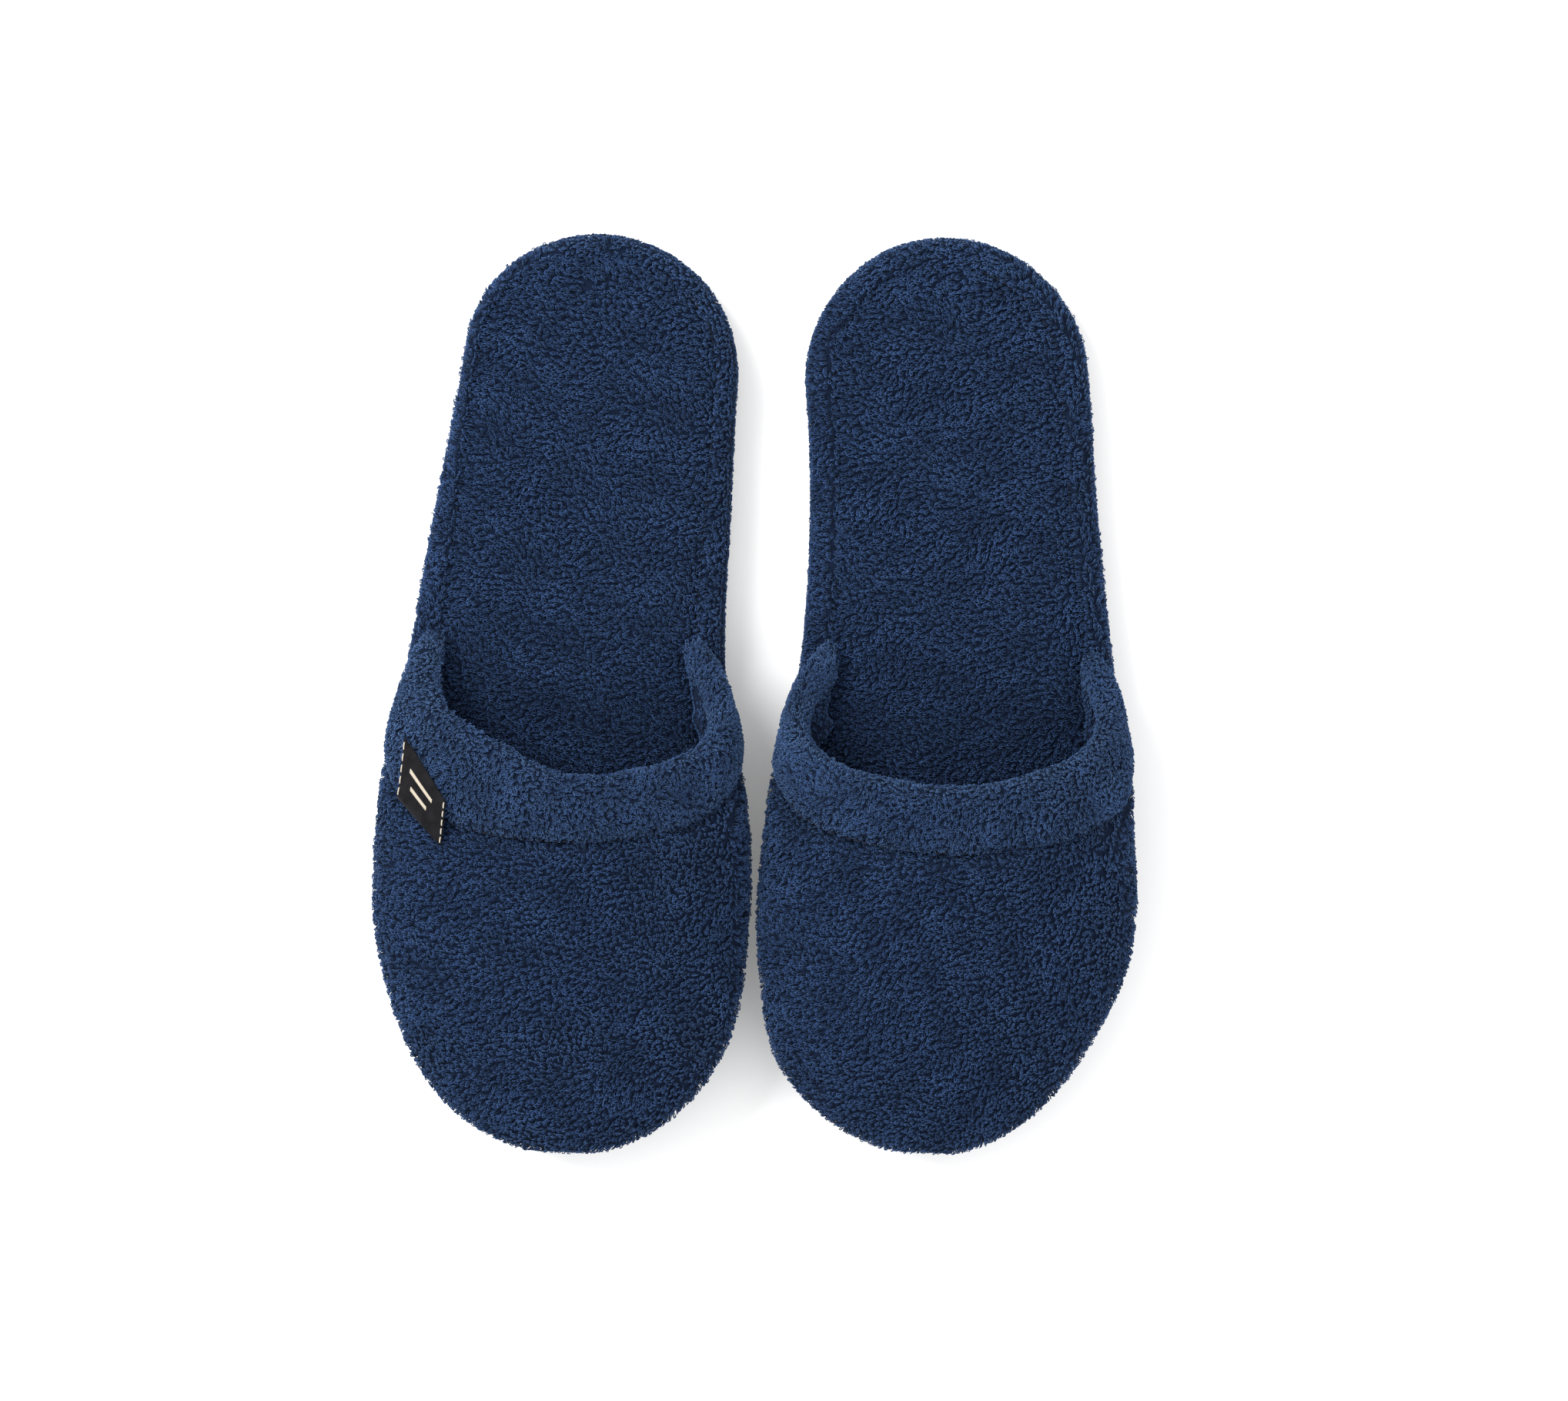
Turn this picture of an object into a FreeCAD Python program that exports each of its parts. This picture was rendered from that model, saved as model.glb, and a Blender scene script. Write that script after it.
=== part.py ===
import FreeCAD, Part
import Sketcher
import math
import os

# A pair of closed-toe terry spa slippers, lying side by side on a floor.
#
# Frame: +Z up, toes towards -Y, heels towards +Y. The origin is on the floor under the middle of the
# pair. The wearer's left slipper is at +X and the right one, which carries the label, is its mirror
# image at -X. Everything is in millimetres.
#
# Each slipper is slip-lasted: a grooved outsole, a foam midsole and a soft foam cushion, all inside a
# terry wrapper that turns over the edge and meets the terry footbed in the feather seam. The vamp is
# terry over padding over a lining, and a folded collar band binds its throat.
#
# The sole is cut in two at the line where a worn slipper bends, just behind the vamp's wings.

doc = FreeCAD.newDocument("spa_slippers")

# ---------------------------------------------------------------------------------------------------
# Driving dimensions
# ---------------------------------------------------------------------------------------------------

DIMENSIONS = {
    # sole outline of the left slipper: five tangent arcs and one straight stretch on the outer side
    "heel_centre_x": 54.5,
    "heel_centre_y": 100.5,
    "heel_radius": 43.5,
    "toe_centre_x": 56.8,
    "toe_centre_y": -94.9,
    "toe_radius": 48.6,
    "outer_ball_centre_x": -5.5,
    "outer_ball_radius": 123.8,
    "inner_ball_centre_x": 160.4,
    "inner_ball_radius": 157.0,
    "inner_waist_radius": 443.0,
    # layers of the sole, from the floor up
    "outsole_thickness": 3.0,
    "outsole_inset": 1.5,
    "midsole_top": 12.4,
    "cushion_top": 15.9,
    "seam_height": 18.5,
    "layer_gap": 0.1,
    "footbed_thickness": 2.4,
    "footbed_edge_radius": 0.8,
    # terry wrapper round the sole's edge
    "wrapper_thickness": 2.4,
    "wrapper_tuck": 10.0,
    "wrapper_cap": 8.3,
    "wrapper_top_radius": 5.0,
    "wrapper_bottom_radius": 2.0,
    # feather seam between wrapper and footbed
    "seam_groove": 0.8,
    "seam_thread_width": 0.5,
    "seam_thread_height": 1.3,
    # anti-slip grooves under the outsole
    "groove_width": 3.0,
    "groove_depth": 1.0,
    "groove_length": 58.0,
    "groove_pitch": 12.0,
    "groove_first_y": -108.0,
    "groove_count": 19,
    # line where the sole bends
    "flex_y": 20.5,
    "flex_gap": 0.4,
    # throat of the vamp: a plane that leans back at 45 degrees from the wing ends
    "wing_y": 16.6,
    "edge_depth": 2.2,
    "band_depth": 23.0,
    "band_turn_in": 14.0,
    # layers of the vamp, as depths below its terry surface
    "band_rise": 1.5,
    "terry_depth": 2.2,
    "padding_depth": 4.2,
    "lining_depth": 6.1,
    "band_inner_depth": 7.8,
    "contact_gap": 0.1,
    "band_seam_width": 0.8,
    "band_seam_rise": 0.8,
    # woven label on the right slipper's collar band
    "label_lowest": 36.0,
    "label_thickness": 0.5,
    "label_stitch_length": 2.2,
    "label_stitch_width": 0.7,
    "label_stitch_rise": 0.4,
    "label_stitches_per_end": 4,
    "label_end_margin": 0.8,
}

# Cross-sections of the vamp, from the wings to the toe. Each is an ellipse: its place along Y, the
# middle of the foot there, half the width, and the heights of its lowest and highest point. The
# lower part of each is cut off at the seam, so the vamp swells out over the sole and comes back in.
VAMP_SECTIONS = [
    (24.0, 62.3, 46.5, 2.7, 66.0),
    (-5.4, 61.5, 52.7, 3.0, 65.0),
    (-26.4, 60.9, 56.2, 3.8, 62.5),
    (-55.4, 60.3, 59.4, 5.7, 57.5),
    (-83.4, 59.4, 58.0, 7.8, 51.5),
    (-107.4, 57.4, 51.8, 9.7, 45.5),
    (-125.4, 56.6, 41.5, 12.0, 39.5),
    (-138.0, 56.4, 26.5, 16.0, 33.5),
    (-144.0, 56.5, 11.0, 21.5, 29.5),
]
SECTION_FIELDS = ("place", "middle", "half", "low", "top")
for number, section in enumerate(VAMP_SECTIONS, start=1):
    for field, value in zip(SECTION_FIELDS, section):
        DIMENSIONS["vamp_%s_%d" % (field, number)] = value

# Corners of the label, seen from above, on the left slipper before it is mirrored.
LABEL_CORNERS = [(112.0, -17.5), (99.0, -36.5), (100.0, -50.5), (114.0, -36.0)]
for number, corner in enumerate(LABEL_CORNERS, start=1):
    DIMENSIONS["label_x_%d" % number] = corner[0]
    DIMENSIONS["label_y_%d" % number] = corner[1]

sheet = doc.addObject("Spreadsheet::Sheet", "Sheet")
for row, (name, value) in enumerate(DIMENSIONS.items(), start=1):
    sheet.set("A%d" % row, name)
    sheet.set("B%d" % row, str(value))
    sheet.setAlias("B%d" % row, name)
doc.recompute()

# Blocks and prisms that only cut other shapes reach well past the slipper on every side.
CUTTER_SIDE = -40.0
CUTTER_FLOOR = -10.0
CUTTER_LENGTH = 200.0
CUTTER_HEIGHT = 60.0
BEHIND_HEEL = "200"
AHEAD_OF_TOE = "0 - 200"
# Tolerances of this script's own checks, in millimetres, cubic millimetres and as a share.
LEVEL_TOLERANCE = 0.01
LEAST_CUT = 1.0
GROOVE_TOLERANCE = 0.02
# A sketch's or ellipse's size before the sheet sets it.
UNSET_SIZE = 1000.0


def value_of(expression):
    """The number that an expression in the sheet's names stands for."""
    result = sheet.evalExpression(expression)
    return float(getattr(result, "Value", result))


def named(text):
    """The same expression, spelled so that any object of the document can hold it."""
    words = []
    for word in text.split():
        bare = word.strip("()")
        words.append(word.replace(bare, "Sheet." + bare) if bare in DIMENSIONS else word)
    return " ".join(words)


# ---------------------------------------------------------------------------------------------------
# Sole outline
# ---------------------------------------------------------------------------------------------------


def circle_meeting(first, first_reach, second, second_reach, side):
    """The point at given distances from two centres, on one side of the line between them."""
    span_x = second[0] - first[0]
    span_y = second[1] - first[1]
    span = math.hypot(span_x, span_y)
    along = (first_reach ** 2 - second_reach ** 2 + span ** 2) / (2 * span)
    across = side * math.sqrt(first_reach ** 2 - along ** 2)
    return (
        first[0] + (along * span_x - across * span_y) / span,
        first[1] + (along * span_y + across * span_x) / span,
    )


def outline_circles(inset):
    """Centre and radius of each arc of the sole outline, moved inwards by the inset."""
    heel = (value_of("heel_centre_x"), value_of("heel_centre_y"))
    toe = (value_of("toe_centre_x"), value_of("toe_centre_y"))
    heel_radius = value_of("heel_radius")
    toe_radius = value_of("toe_radius")

    def ball_centre(side):
        centre_x = value_of(side + "_ball_centre_x")
        reach = value_of(side + "_ball_radius") - toe_radius
        return centre_x, toe[1] + math.sqrt(reach ** 2 - (centre_x - toe[0]) ** 2)

    outer_ball = ball_centre("outer")
    inner_ball = ball_centre("inner")
    waist_radius = value_of("inner_waist_radius")
    inner_radius = value_of("inner_ball_radius")
    waist = circle_meeting(heel, waist_radius + heel_radius, inner_ball, waist_radius + inner_radius, -1)
    return {
        "heel": (heel, heel_radius - inset),
        "toe": (toe, toe_radius - inset),
        "outer_ball": (outer_ball, value_of("outer_ball_radius") - inset),
        "inner_ball": (inner_ball, inner_radius - inset),
        "inner_waist": (waist, waist_radius + inset),
    }


def touch_point(circles, large, small):
    """Where an arc touches the smaller arc inside it."""
    (large_x, large_y), large_radius = circles[large]
    (small_x, small_y), small_radius = circles[small]
    reach = large_radius / (large_radius - small_radius)
    return large_x + (small_x - large_x) * reach, large_y + (small_y - large_y) * reach


def outline_points(circles):
    """The six points where the pieces of the outline join, anticlockwise from the outer heel."""
    (heel_x, heel_y), heel_radius = circles["heel"]
    (ball_x, ball_y), ball_radius = circles["outer_ball"]
    # The straight outer side is the common tangent of the heel and the outer ball arc.
    span = math.hypot(ball_x - heel_x, ball_y - heel_y)
    tilt = math.atan2(ball_y - heel_y, ball_x - heel_x) + math.acos((heel_radius - ball_radius) / span)
    side = (math.cos(tilt), math.sin(tilt))
    outer_heel = (heel_x + heel_radius * side[0], heel_y + heel_radius * side[1])
    outer_waist = (ball_x + ball_radius * side[0], ball_y + ball_radius * side[1])
    (waist_x, waist_y), waist_radius = circles["inner_waist"]

    def waist_point(name):
        (centre_x, centre_y), radius = circles[name]
        share = waist_radius / (waist_radius + radius)
        return waist_x + (centre_x - waist_x) * share, waist_y + (centre_y - waist_y) * share

    return {
        "outer_heel": outer_heel,
        "outer_waist": outer_waist,
        "outer_toe": touch_point(circles, "outer_ball", "toe"),
        "inner_toe": touch_point(circles, "inner_ball", "toe"),
        "inner_ball": waist_point("inner_ball"),
        "inner_heel": waist_point("heel"),
    }


def arc_between(centre, radius, start, end):
    """An anticlockwise arc round a centre from one point to another."""
    start_angle = math.atan2(start[1] - centre[1], start[0] - centre[0])
    end_angle = math.atan2(end[1] - centre[1], end[0] - centre[0])
    if end_angle < start_angle:
        end_angle += 2 * math.pi
    circle = Part.Circle(FreeCAD.Vector(centre[0], centre[1], 0), FreeCAD.Vector(0, 0, 1), radius)
    return Part.ArcOfCircle(circle, start_angle, end_angle)


def origin_plane(body, role):
    """One of a body's own origin planes."""
    return next(feature for feature in body.Origin.OriginFeatures if feature.Role == role)


def bind(sketch, constraint, name, expression):
    """Adds a named dimension whose size follows the sheet."""
    index = sketch.addConstraint(constraint)
    sketch.renameConstraint(index, name)
    sketch.setExpression("Constraints." + name, named(expression))


def outline_sketch(body, name, inset, height):
    """The sole outline, moved inwards by an inset, as a sketch on a level plane."""
    sketch = body.newObject("Sketcher::SketchObject", name)
    sketch.AttachmentSupport = [(origin_plane(body, "XY_Plane"), "")]
    sketch.MapMode = "FlatFace"
    sketch.setExpression(".AttachmentOffset.Base.z", named(height))
    circles = outline_circles(value_of(inset))
    points = outline_points(circles)
    # Anticlockwise: heel, inner waist (hollow, so it runs the other way), inner ball, toe, outer ball.
    pieces = [
        ("heel", "outer_heel", "inner_heel"),
        ("inner_waist", "inner_ball", "inner_heel"),
        ("inner_ball", "inner_ball", "inner_toe"),
        ("toe", "inner_toe", "outer_toe"),
        ("outer_ball", "outer_toe", "outer_waist"),
    ]
    for centre_name, start, end in pieces:
        centre, radius = circles[centre_name]
        sketch.addGeometry(arc_between(centre, radius, points[start], points[end]), False)
    straight = Part.LineSegment(
        FreeCAD.Vector(*points["outer_waist"], 0),
        FreeCAD.Vector(*points["outer_heel"], 0),
    )
    sketch.addGeometry(straight, False)
    heel, waist, inner, toe, outer, side = range(6)
    start, end, centre = 1, 2, 3
    joins = [
        (heel, end, waist, end),
        (waist, start, inner, start),
        (inner, end, toe, start),
        (toe, end, outer, start),
        (outer, end, side, start),
        (side, end, heel, start),
    ]
    for join in joins:
        sketch.addConstraint(Sketcher.Constraint("Tangent", *join))
    for index, word, sign in (
        (heel, "heel", "-"),
        (toe, "toe", "-"),
        (outer, "outer_ball", "-"),
        (inner, "inner_ball", "-"),
        (waist, "inner_waist", "+"),
    ):
        radius = Sketcher.Constraint("Radius", index, circles[word][1])
        bind(sketch, radius, word + "_size", "%s_radius %s ( %s )" % (word, sign, inset))
    for index, word in ((heel, "heel"), (toe, "toe"), (outer, "outer_ball"), (inner, "inner_ball")):
        across = Sketcher.Constraint("DistanceX", -1, 1, index, centre, circles[word][0][0])
        bind(sketch, across, word + "_across", word + "_centre_x")
    for index, word in ((heel, "heel"), (toe, "toe")):
        along = Sketcher.Constraint("DistanceY", -1, 1, index, centre, circles[word][0][1])
        bind(sketch, along, word + "_along", word + "_centre_y")
    return sketch


def pad(body, sketch, thickness):
    """Adds the sketched area to a body, upwards."""
    feature = body.newObject("PartDesign::Pad", sketch.Name + "_pad")
    feature.Profile = sketch
    feature.setExpression("Length", named(thickness))
    sketch.Visibility = False
    return feature


def pocket(body, sketch, depth):
    """Removes the sketched area from a body, downwards, and makes sure that it cut."""
    before = body.Shape.Volume
    feature = body.newObject("PartDesign::Pocket", sketch.Name + "_pocket")
    feature.Profile = sketch
    feature.setExpression("Length", named(depth))
    doc.recompute()
    if body.Shape.Volume >= before - LEAST_CUT:
        raise RuntimeError(sketch.Name + " cuts nothing")
    return feature


def edges_at_height(feature, height):
    """Names of the edges of a feature that lie level at a height."""
    names = []
    for number, edge in enumerate(feature.Shape.Edges, start=1):
        box = edge.BoundBox
        if max(abs(box.ZMin - height), abs(box.ZMax - height)) < LEVEL_TOLERANCE:
            names.append("Edge%d" % number)
    return names


def fillet(body, base, height, radius):
    """Rounds the level edges of a feature at one height."""
    feature = body.newObject("PartDesign::Fillet", "%s_round_%d" % (body.Name, round(height)))
    feature.Base = (base, edges_at_height(base, height))
    feature.setExpression("Radius", named(radius))
    doc.recompute()
    return feature


# ---------------------------------------------------------------------------------------------------
# Sole layers, whole; they are cut at the flex line further down
# ---------------------------------------------------------------------------------------------------


def make_outsole():
    """Thin sheet with shallow anti-slip grooves that stop short of its rim."""
    body = doc.addObject("PartDesign::Body", "outsole")
    pad(body, outline_sketch(body, "outsole_outline", "outsole_inset", "0"), "outsole_thickness")
    doc.recompute()
    sketch = body.newObject("Sketcher::SketchObject", "outsole_groove")
    sketch.AttachmentSupport = [(origin_plane(body, "XY_Plane"), "")]
    sketch.MapMode = "FlatFace"
    half_length = value_of("groove_length") / 2
    middle = value_of("heel_centre_x")
    low = value_of("groove_first_y")
    corners = [
        (middle - half_length, low),
        (middle + half_length, low),
        (middle + half_length, low + value_of("groove_width")),
        (middle - half_length, low + value_of("groove_width")),
    ]
    for first, second in zip(corners, corners[1:] + corners[:1]):
        sketch.addGeometry(Part.LineSegment(FreeCAD.Vector(*first, 0), FreeCAD.Vector(*second, 0)), False)
    for side in range(4):
        sketch.addConstraint(Sketcher.Constraint("Coincident", side, 2, (side + 1) % 4, 1))
        sketch.addConstraint(Sketcher.Constraint("Horizontal" if side % 2 == 0 else "Vertical", side))
    bind(sketch, Sketcher.Constraint("DistanceX", 0, 1, 0, 2, 2 * half_length), "long", "groove_length")
    wide = Sketcher.Constraint("DistanceY", 1, 1, 1, 2, value_of("groove_width"))
    bind(sketch, wide, "wide", "groove_width")
    across = Sketcher.Constraint("DistanceX", -1, 1, 0, 1, corners[0][0])
    bind(sketch, across, "across", "heel_centre_x - groove_length / 2")
    bind(sketch, Sketcher.Constraint("DistanceY", -1, 1, 0, 1, low), "along", "groove_first_y")
    doc.recompute()
    before = body.Shape.Volume
    groove = body.newObject("PartDesign::Pocket", "outsole_groove_cut")
    groove.Profile = sketch
    groove.Reversed = True
    groove.setExpression("Length", named("groove_depth"))
    doc.recompute()
    row = body.newObject("PartDesign::LinearPattern", "outsole_groove_row")
    row.Originals = [groove]
    row.Direction = (sketch, ["V_Axis"])
    row.setExpression("Length", named("groove_pitch * ( groove_count - 1 )"))
    row.setExpression("Occurrences", named("groove_count"))
    body.Tip = row
    doc.recompute()
    one_groove = value_of("groove_length") * value_of("groove_width") * value_of("groove_depth")
    wanted = one_groove * value_of("groove_count")
    if abs(before - body.Shape.Volume - wanted) > GROOVE_TOLERANCE * wanted:
        raise RuntimeError("the outsole's grooves are not all cut")
    return body


def make_midsole():
    """Foam board that fills the wrapper, with a raised underside inside the wrapper's tuck."""
    body = doc.addObject("PartDesign::Body", "midsole")
    inset = "wrapper_thickness + layer_gap"
    floor = "outsole_thickness + wrapper_thickness"
    board = outline_sketch(body, "midsole_board", inset, floor)
    pad(body, board, "midsole_top - outsole_thickness - wrapper_thickness")
    boss = outline_sketch(body, "midsole_underside", "wrapper_tuck + layer_gap", "outsole_thickness")
    pad(body, boss, "wrapper_thickness")
    doc.recompute()
    return body


def make_cushion():
    """Soft foam between the midsole and the footbed."""
    body = doc.addObject("PartDesign::Body", "cushion")
    inset = "wrapper_thickness + layer_gap"
    pad(body, outline_sketch(body, "cushion_outline", inset, "midsole_top"), "cushion_top - midsole_top")
    doc.recompute()
    return body


def make_footbed():
    """Terry insole sheet with a rounded edge at the feather seam."""
    body = doc.addObject("PartDesign::Body", "footbed")
    inset = "wrapper_cap + seam_groove"
    sketch = outline_sketch(body, "footbed_outline", inset, "seam_height - footbed_thickness")
    sheet_pad = pad(body, sketch, "footbed_thickness")
    doc.recompute()
    fillet(body, sheet_pad, value_of("seam_height"), "footbed_edge_radius")
    return body


def make_wrapper():
    """Terry strip: tucked under the midsole, up the side, and over the edge to the feather seam."""
    body = doc.addObject("PartDesign::Body", "wrapper")
    bottom = value_of("outsole_thickness")
    top = value_of("seam_height")
    outside = outline_sketch(body, "wrapper_outline", "0", "outsole_thickness")
    block = pad(body, outside, "seam_height - outsole_thickness")
    doc.recompute()
    upper = fillet(body, block, top, "wrapper_top_radius")
    fillet(body, upper, bottom, "wrapper_bottom_radius")
    mouth = outline_sketch(body, "wrapper_mouth", "wrapper_cap", "seam_height")
    pocket(body, mouth, "seam_height - cushion_top")
    hollow = outline_sketch(body, "wrapper_hollow", "wrapper_thickness", "cushion_top")
    pocket(body, hollow, "cushion_top - outsole_thickness - wrapper_thickness")
    under = outline_sketch(body, "wrapper_underside", "wrapper_tuck", "outsole_thickness + wrapper_thickness")
    pocket(body, under, "wrapper_thickness")
    return body


def make_feather_seam():
    """Seam thread, a closed ring at the bottom of the groove between wrapper and footbed."""
    body = doc.addObject("PartDesign::Body", "feather_seam")
    margin = "( seam_groove - seam_thread_width ) / 2"
    floor = "seam_height - footbed_thickness"
    outside = outline_sketch(body, "feather_seam_outside", "wrapper_cap + " + margin, floor)
    pad(body, outside, "seam_thread_height")
    doc.recompute()
    inset = "wrapper_cap + seam_thread_width + " + margin
    inside = outline_sketch(body, "feather_seam_inside", inset, floor + " + seam_thread_height")
    pocket(body, inside, "seam_thread_height")
    return body


def make_block(name, back, front):
    """A block across the slipper between two places along Y, used to part the sole layers."""
    block = doc.addObject("Part::Box", name)
    block.Length = CUTTER_LENGTH
    block.Height = CUTTER_HEIGHT
    block.setExpression("Width", named("( %s ) - ( %s )" % (back, front)))
    block.Placement.Base = FreeCAD.Vector(CUTTER_SIDE, 0, CUTTER_FLOOR)
    block.setExpression(".Placement.Base.y", named(front))
    return block


# ---------------------------------------------------------------------------------------------------
# Vamp
# ---------------------------------------------------------------------------------------------------

section_total = len(VAMP_SECTIONS)
vamp_lofts = {}


def vamp_form(depth):
    """The vamp's closed outer form, shrunk by a depth below (or grown above) the terry surface."""
    if depth in vamp_lofts:
        return vamp_lofts[depth]
    tag = "form_%d" % len(vamp_lofts)
    # The form shrinks in proportion, so that the depth is right at the ball, the throat and the toe.
    across_share = "( 1 - ( %s ) / vamp_half_4 )" % depth
    up_share = "( 1 - 2 * ( %s ) / ( vamp_top_3 - vamp_low_3 ) )" % depth
    along_share = "( 1 - ( %s ) / ( vamp_place_1 - vamp_place_%d ) )" % (depth, section_total)
    sections = []
    for number in range(1, section_total + 1):
        ellipse = doc.addObject("Part::Ellipse", "%s_section_%d" % (tag, number))
        ellipse.MajorRadius = UNSET_SIZE
        rise = "( vamp_top_%d - vamp_low_%d ) / 2" % (number, number)
        ellipse.setExpression("MinorRadius", named("%s * %s" % (rise, up_share)))
        ellipse.setExpression("MajorRadius", named("vamp_half_%d * %s" % (number, across_share)))
        ellipse.Placement.Rotation = FreeCAD.Rotation(FreeCAD.Vector(1, 0, 0), 90)
        ellipse.setExpression(".Placement.Base.x", named("vamp_middle_%d" % number))
        step = "( vamp_place_1 - vamp_place_%d )" % number
        ellipse.setExpression(".Placement.Base.y", named("vamp_place_1 - %s * %s" % (step, along_share)))
        ellipse.setExpression(".Placement.Base.z", named("vamp_low_%d + %s" % (number, rise)))
        sections.append(ellipse)
    loft = doc.addObject("Part::Loft", tag)
    loft.Sections = sections
    loft.Solid = True
    loft.Ruled = False
    vamp_lofts[depth] = loft
    return loft


def combine(kind, name, base, tool):
    """A boolean of two objects. Merging faces afterwards would spoil the curved layers."""
    result = doc.addObject(kind, name)
    result.Base = base
    result.Tool = tool
    result.Refine = False
    return result


def cut(name, base, tool):
    return combine("Part::Cut", name, base, tool)


def common(name, base, tool):
    return combine("Part::Common", name, base, tool)


def throat_slice(name, near, far):
    """The space above the seam between two leaning planes, given as distances ahead of the throat."""
    sketch = doc.addObject("Sketcher::SketchObject", name + "_profile")
    # This turn stands the sketch upright, with its own X along Y and its own Y along Z.
    upright = FreeCAD.Rotation(FreeCAD.Vector(1, 1, 1), 120)
    sketch.Placement = FreeCAD.Placement(FreeCAD.Vector(CUTTER_SIDE, 0, 0), upright)
    near_y = "wing_y - ( %s )" % near
    far_y = "wing_y - ( %s )" % far
    places = [
        (near_y, "seam_height"),
        (near_y + " - %s" % CUTTER_HEIGHT, "seam_height + %s" % CUTTER_HEIGHT),
        (far_y + " - %s" % CUTTER_HEIGHT, "seam_height + %s" % CUTTER_HEIGHT),
        (far_y, "seam_height"),
    ]
    corners = [FreeCAD.Vector(value_of(along), value_of(up), 0) for along, up in places]
    for first, second in zip(corners, corners[1:] + corners[:1]):
        sketch.addGeometry(Part.LineSegment(first, second), False)
    for side in range(4):
        sketch.addConstraint(Sketcher.Constraint("Coincident", side, 2, (side + 1) % 4, 1))
    for side, (along, up) in enumerate(places):
        corner = corners[side]
        bind(sketch, Sketcher.Constraint("DistanceX", -1, 1, side, 1, corner.x), "along_%d" % side, along)
        bind(sketch, Sketcher.Constraint("DistanceY", -1, 1, side, 1, corner.y), "up_%d" % side, up)
    slab = doc.addObject("Part::Extrusion", name)
    slab.Base = sketch
    slab.DirMode = "Custom"
    slab.Dir = FreeCAD.Vector(1, 0, 0)
    slab.LengthFwd = CUTTER_LENGTH
    slab.Solid = True
    return slab


def shell_slice(name, outer_depth, inner_depth, near, far):
    """A layer of the vamp between two depths, from one leaning plane to another."""
    shell = cut(name + "_shell", vamp_form(outer_depth), vamp_form(inner_depth))
    return common(name, shell, throat_slice(name + "_slice", near, far))


# Depths below the vamp's terry surface; a height above it is a negative depth.
ABOVE_BAND = "0 - band_rise"
ABOVE_TERRY = "0 - contact_gap"
PAST_TOE = "%s" % CUTTER_LENGTH


def make_vamp_layers():
    """Terry, padding and lining, each set back from the throat by the depth of the folded edge."""
    set_back = "edge_depth + contact_gap"
    gap = " + contact_gap"
    return {
        "vamp_terry": shell_slice("vamp_terry", "0", "terry_depth", set_back, PAST_TOE),
        "vamp_padding": shell_slice("vamp_padding", "terry_depth" + gap, "padding_depth", set_back, PAST_TOE),
        "vamp_lining": shell_slice("vamp_lining", "padding_depth" + gap, "lining_depth", set_back, PAST_TOE),
    }


def make_collar_band():
    """Folded hem: an outer leg, the rolled edge of the throat, and a shorter leg inside."""
    root = "edge_depth / 2"
    rolled_rise = ABOVE_BAND + " + contact_gap"
    outside = shell_slice("band_outside", ABOVE_BAND, ABOVE_TERRY, root, "band_depth")
    edge = shell_slice("band_edge", rolled_rise, "band_inner_depth", "0", "edge_depth")
    lining = "lining_depth + contact_gap"
    inside = shell_slice("band_inside", lining, "band_inner_depth - contact_gap", root, "band_turn_in")
    rolled = combine("Part::Fuse", "band_rolled", outside, edge)
    return combine("Part::Fuse", "collar_band", rolled, inside)


def make_collar_seam():
    """Thread in the valley along the band's lower edge."""
    start = "band_depth + contact_gap"
    return shell_slice("collar_seam", "0 - band_seam_rise", ABOVE_TERRY, start, start + " + band_seam_width")


def label_prism(name, corners):
    """An upright prism over a four-sided patch."""
    sketch = doc.addObject("Sketcher::SketchObject", name + "_outline")
    for first, second in zip(corners, corners[1:] + corners[:1]):
        sketch.addGeometry(Part.LineSegment(FreeCAD.Vector(*first, 0), FreeCAD.Vector(*second, 0)), False)
    for side in range(4):
        sketch.addConstraint(Sketcher.Constraint("Coincident", side, 2, (side + 1) % 4, 1))
    for side, (corner_x, corner_y) in enumerate(corners):
        number = side + 1
        across = Sketcher.Constraint("DistanceX", -1, 1, side, 1, corner_x)
        along = Sketcher.Constraint("DistanceY", -1, 1, side, 1, corner_y)
        bind(sketch, across, "across_%d" % number, "label_x_%d" % number)
        bind(sketch, along, "along_%d" % number, "label_y_%d" % number)
    prism = doc.addObject("Part::Extrusion", name)
    prism.Base = sketch
    prism.DirMode = "Custom"
    prism.Dir = FreeCAD.Vector(0, 0, 1)
    prism.LengthFwd = CUTTER_HEIGHT
    prism.Solid = True
    prism.setExpression(".Placement.Base.z", named("label_lowest"))
    return prism


def make_label():
    """Thin woven patch that follows the collar band's surface."""
    back = ABOVE_BAND + " - contact_gap"
    shell = cut("label_shell", vamp_form(back + " - label_thickness"), vamp_form(back))
    return common("label", shell, label_prism("label_patch", LABEL_CORNERS))


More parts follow.
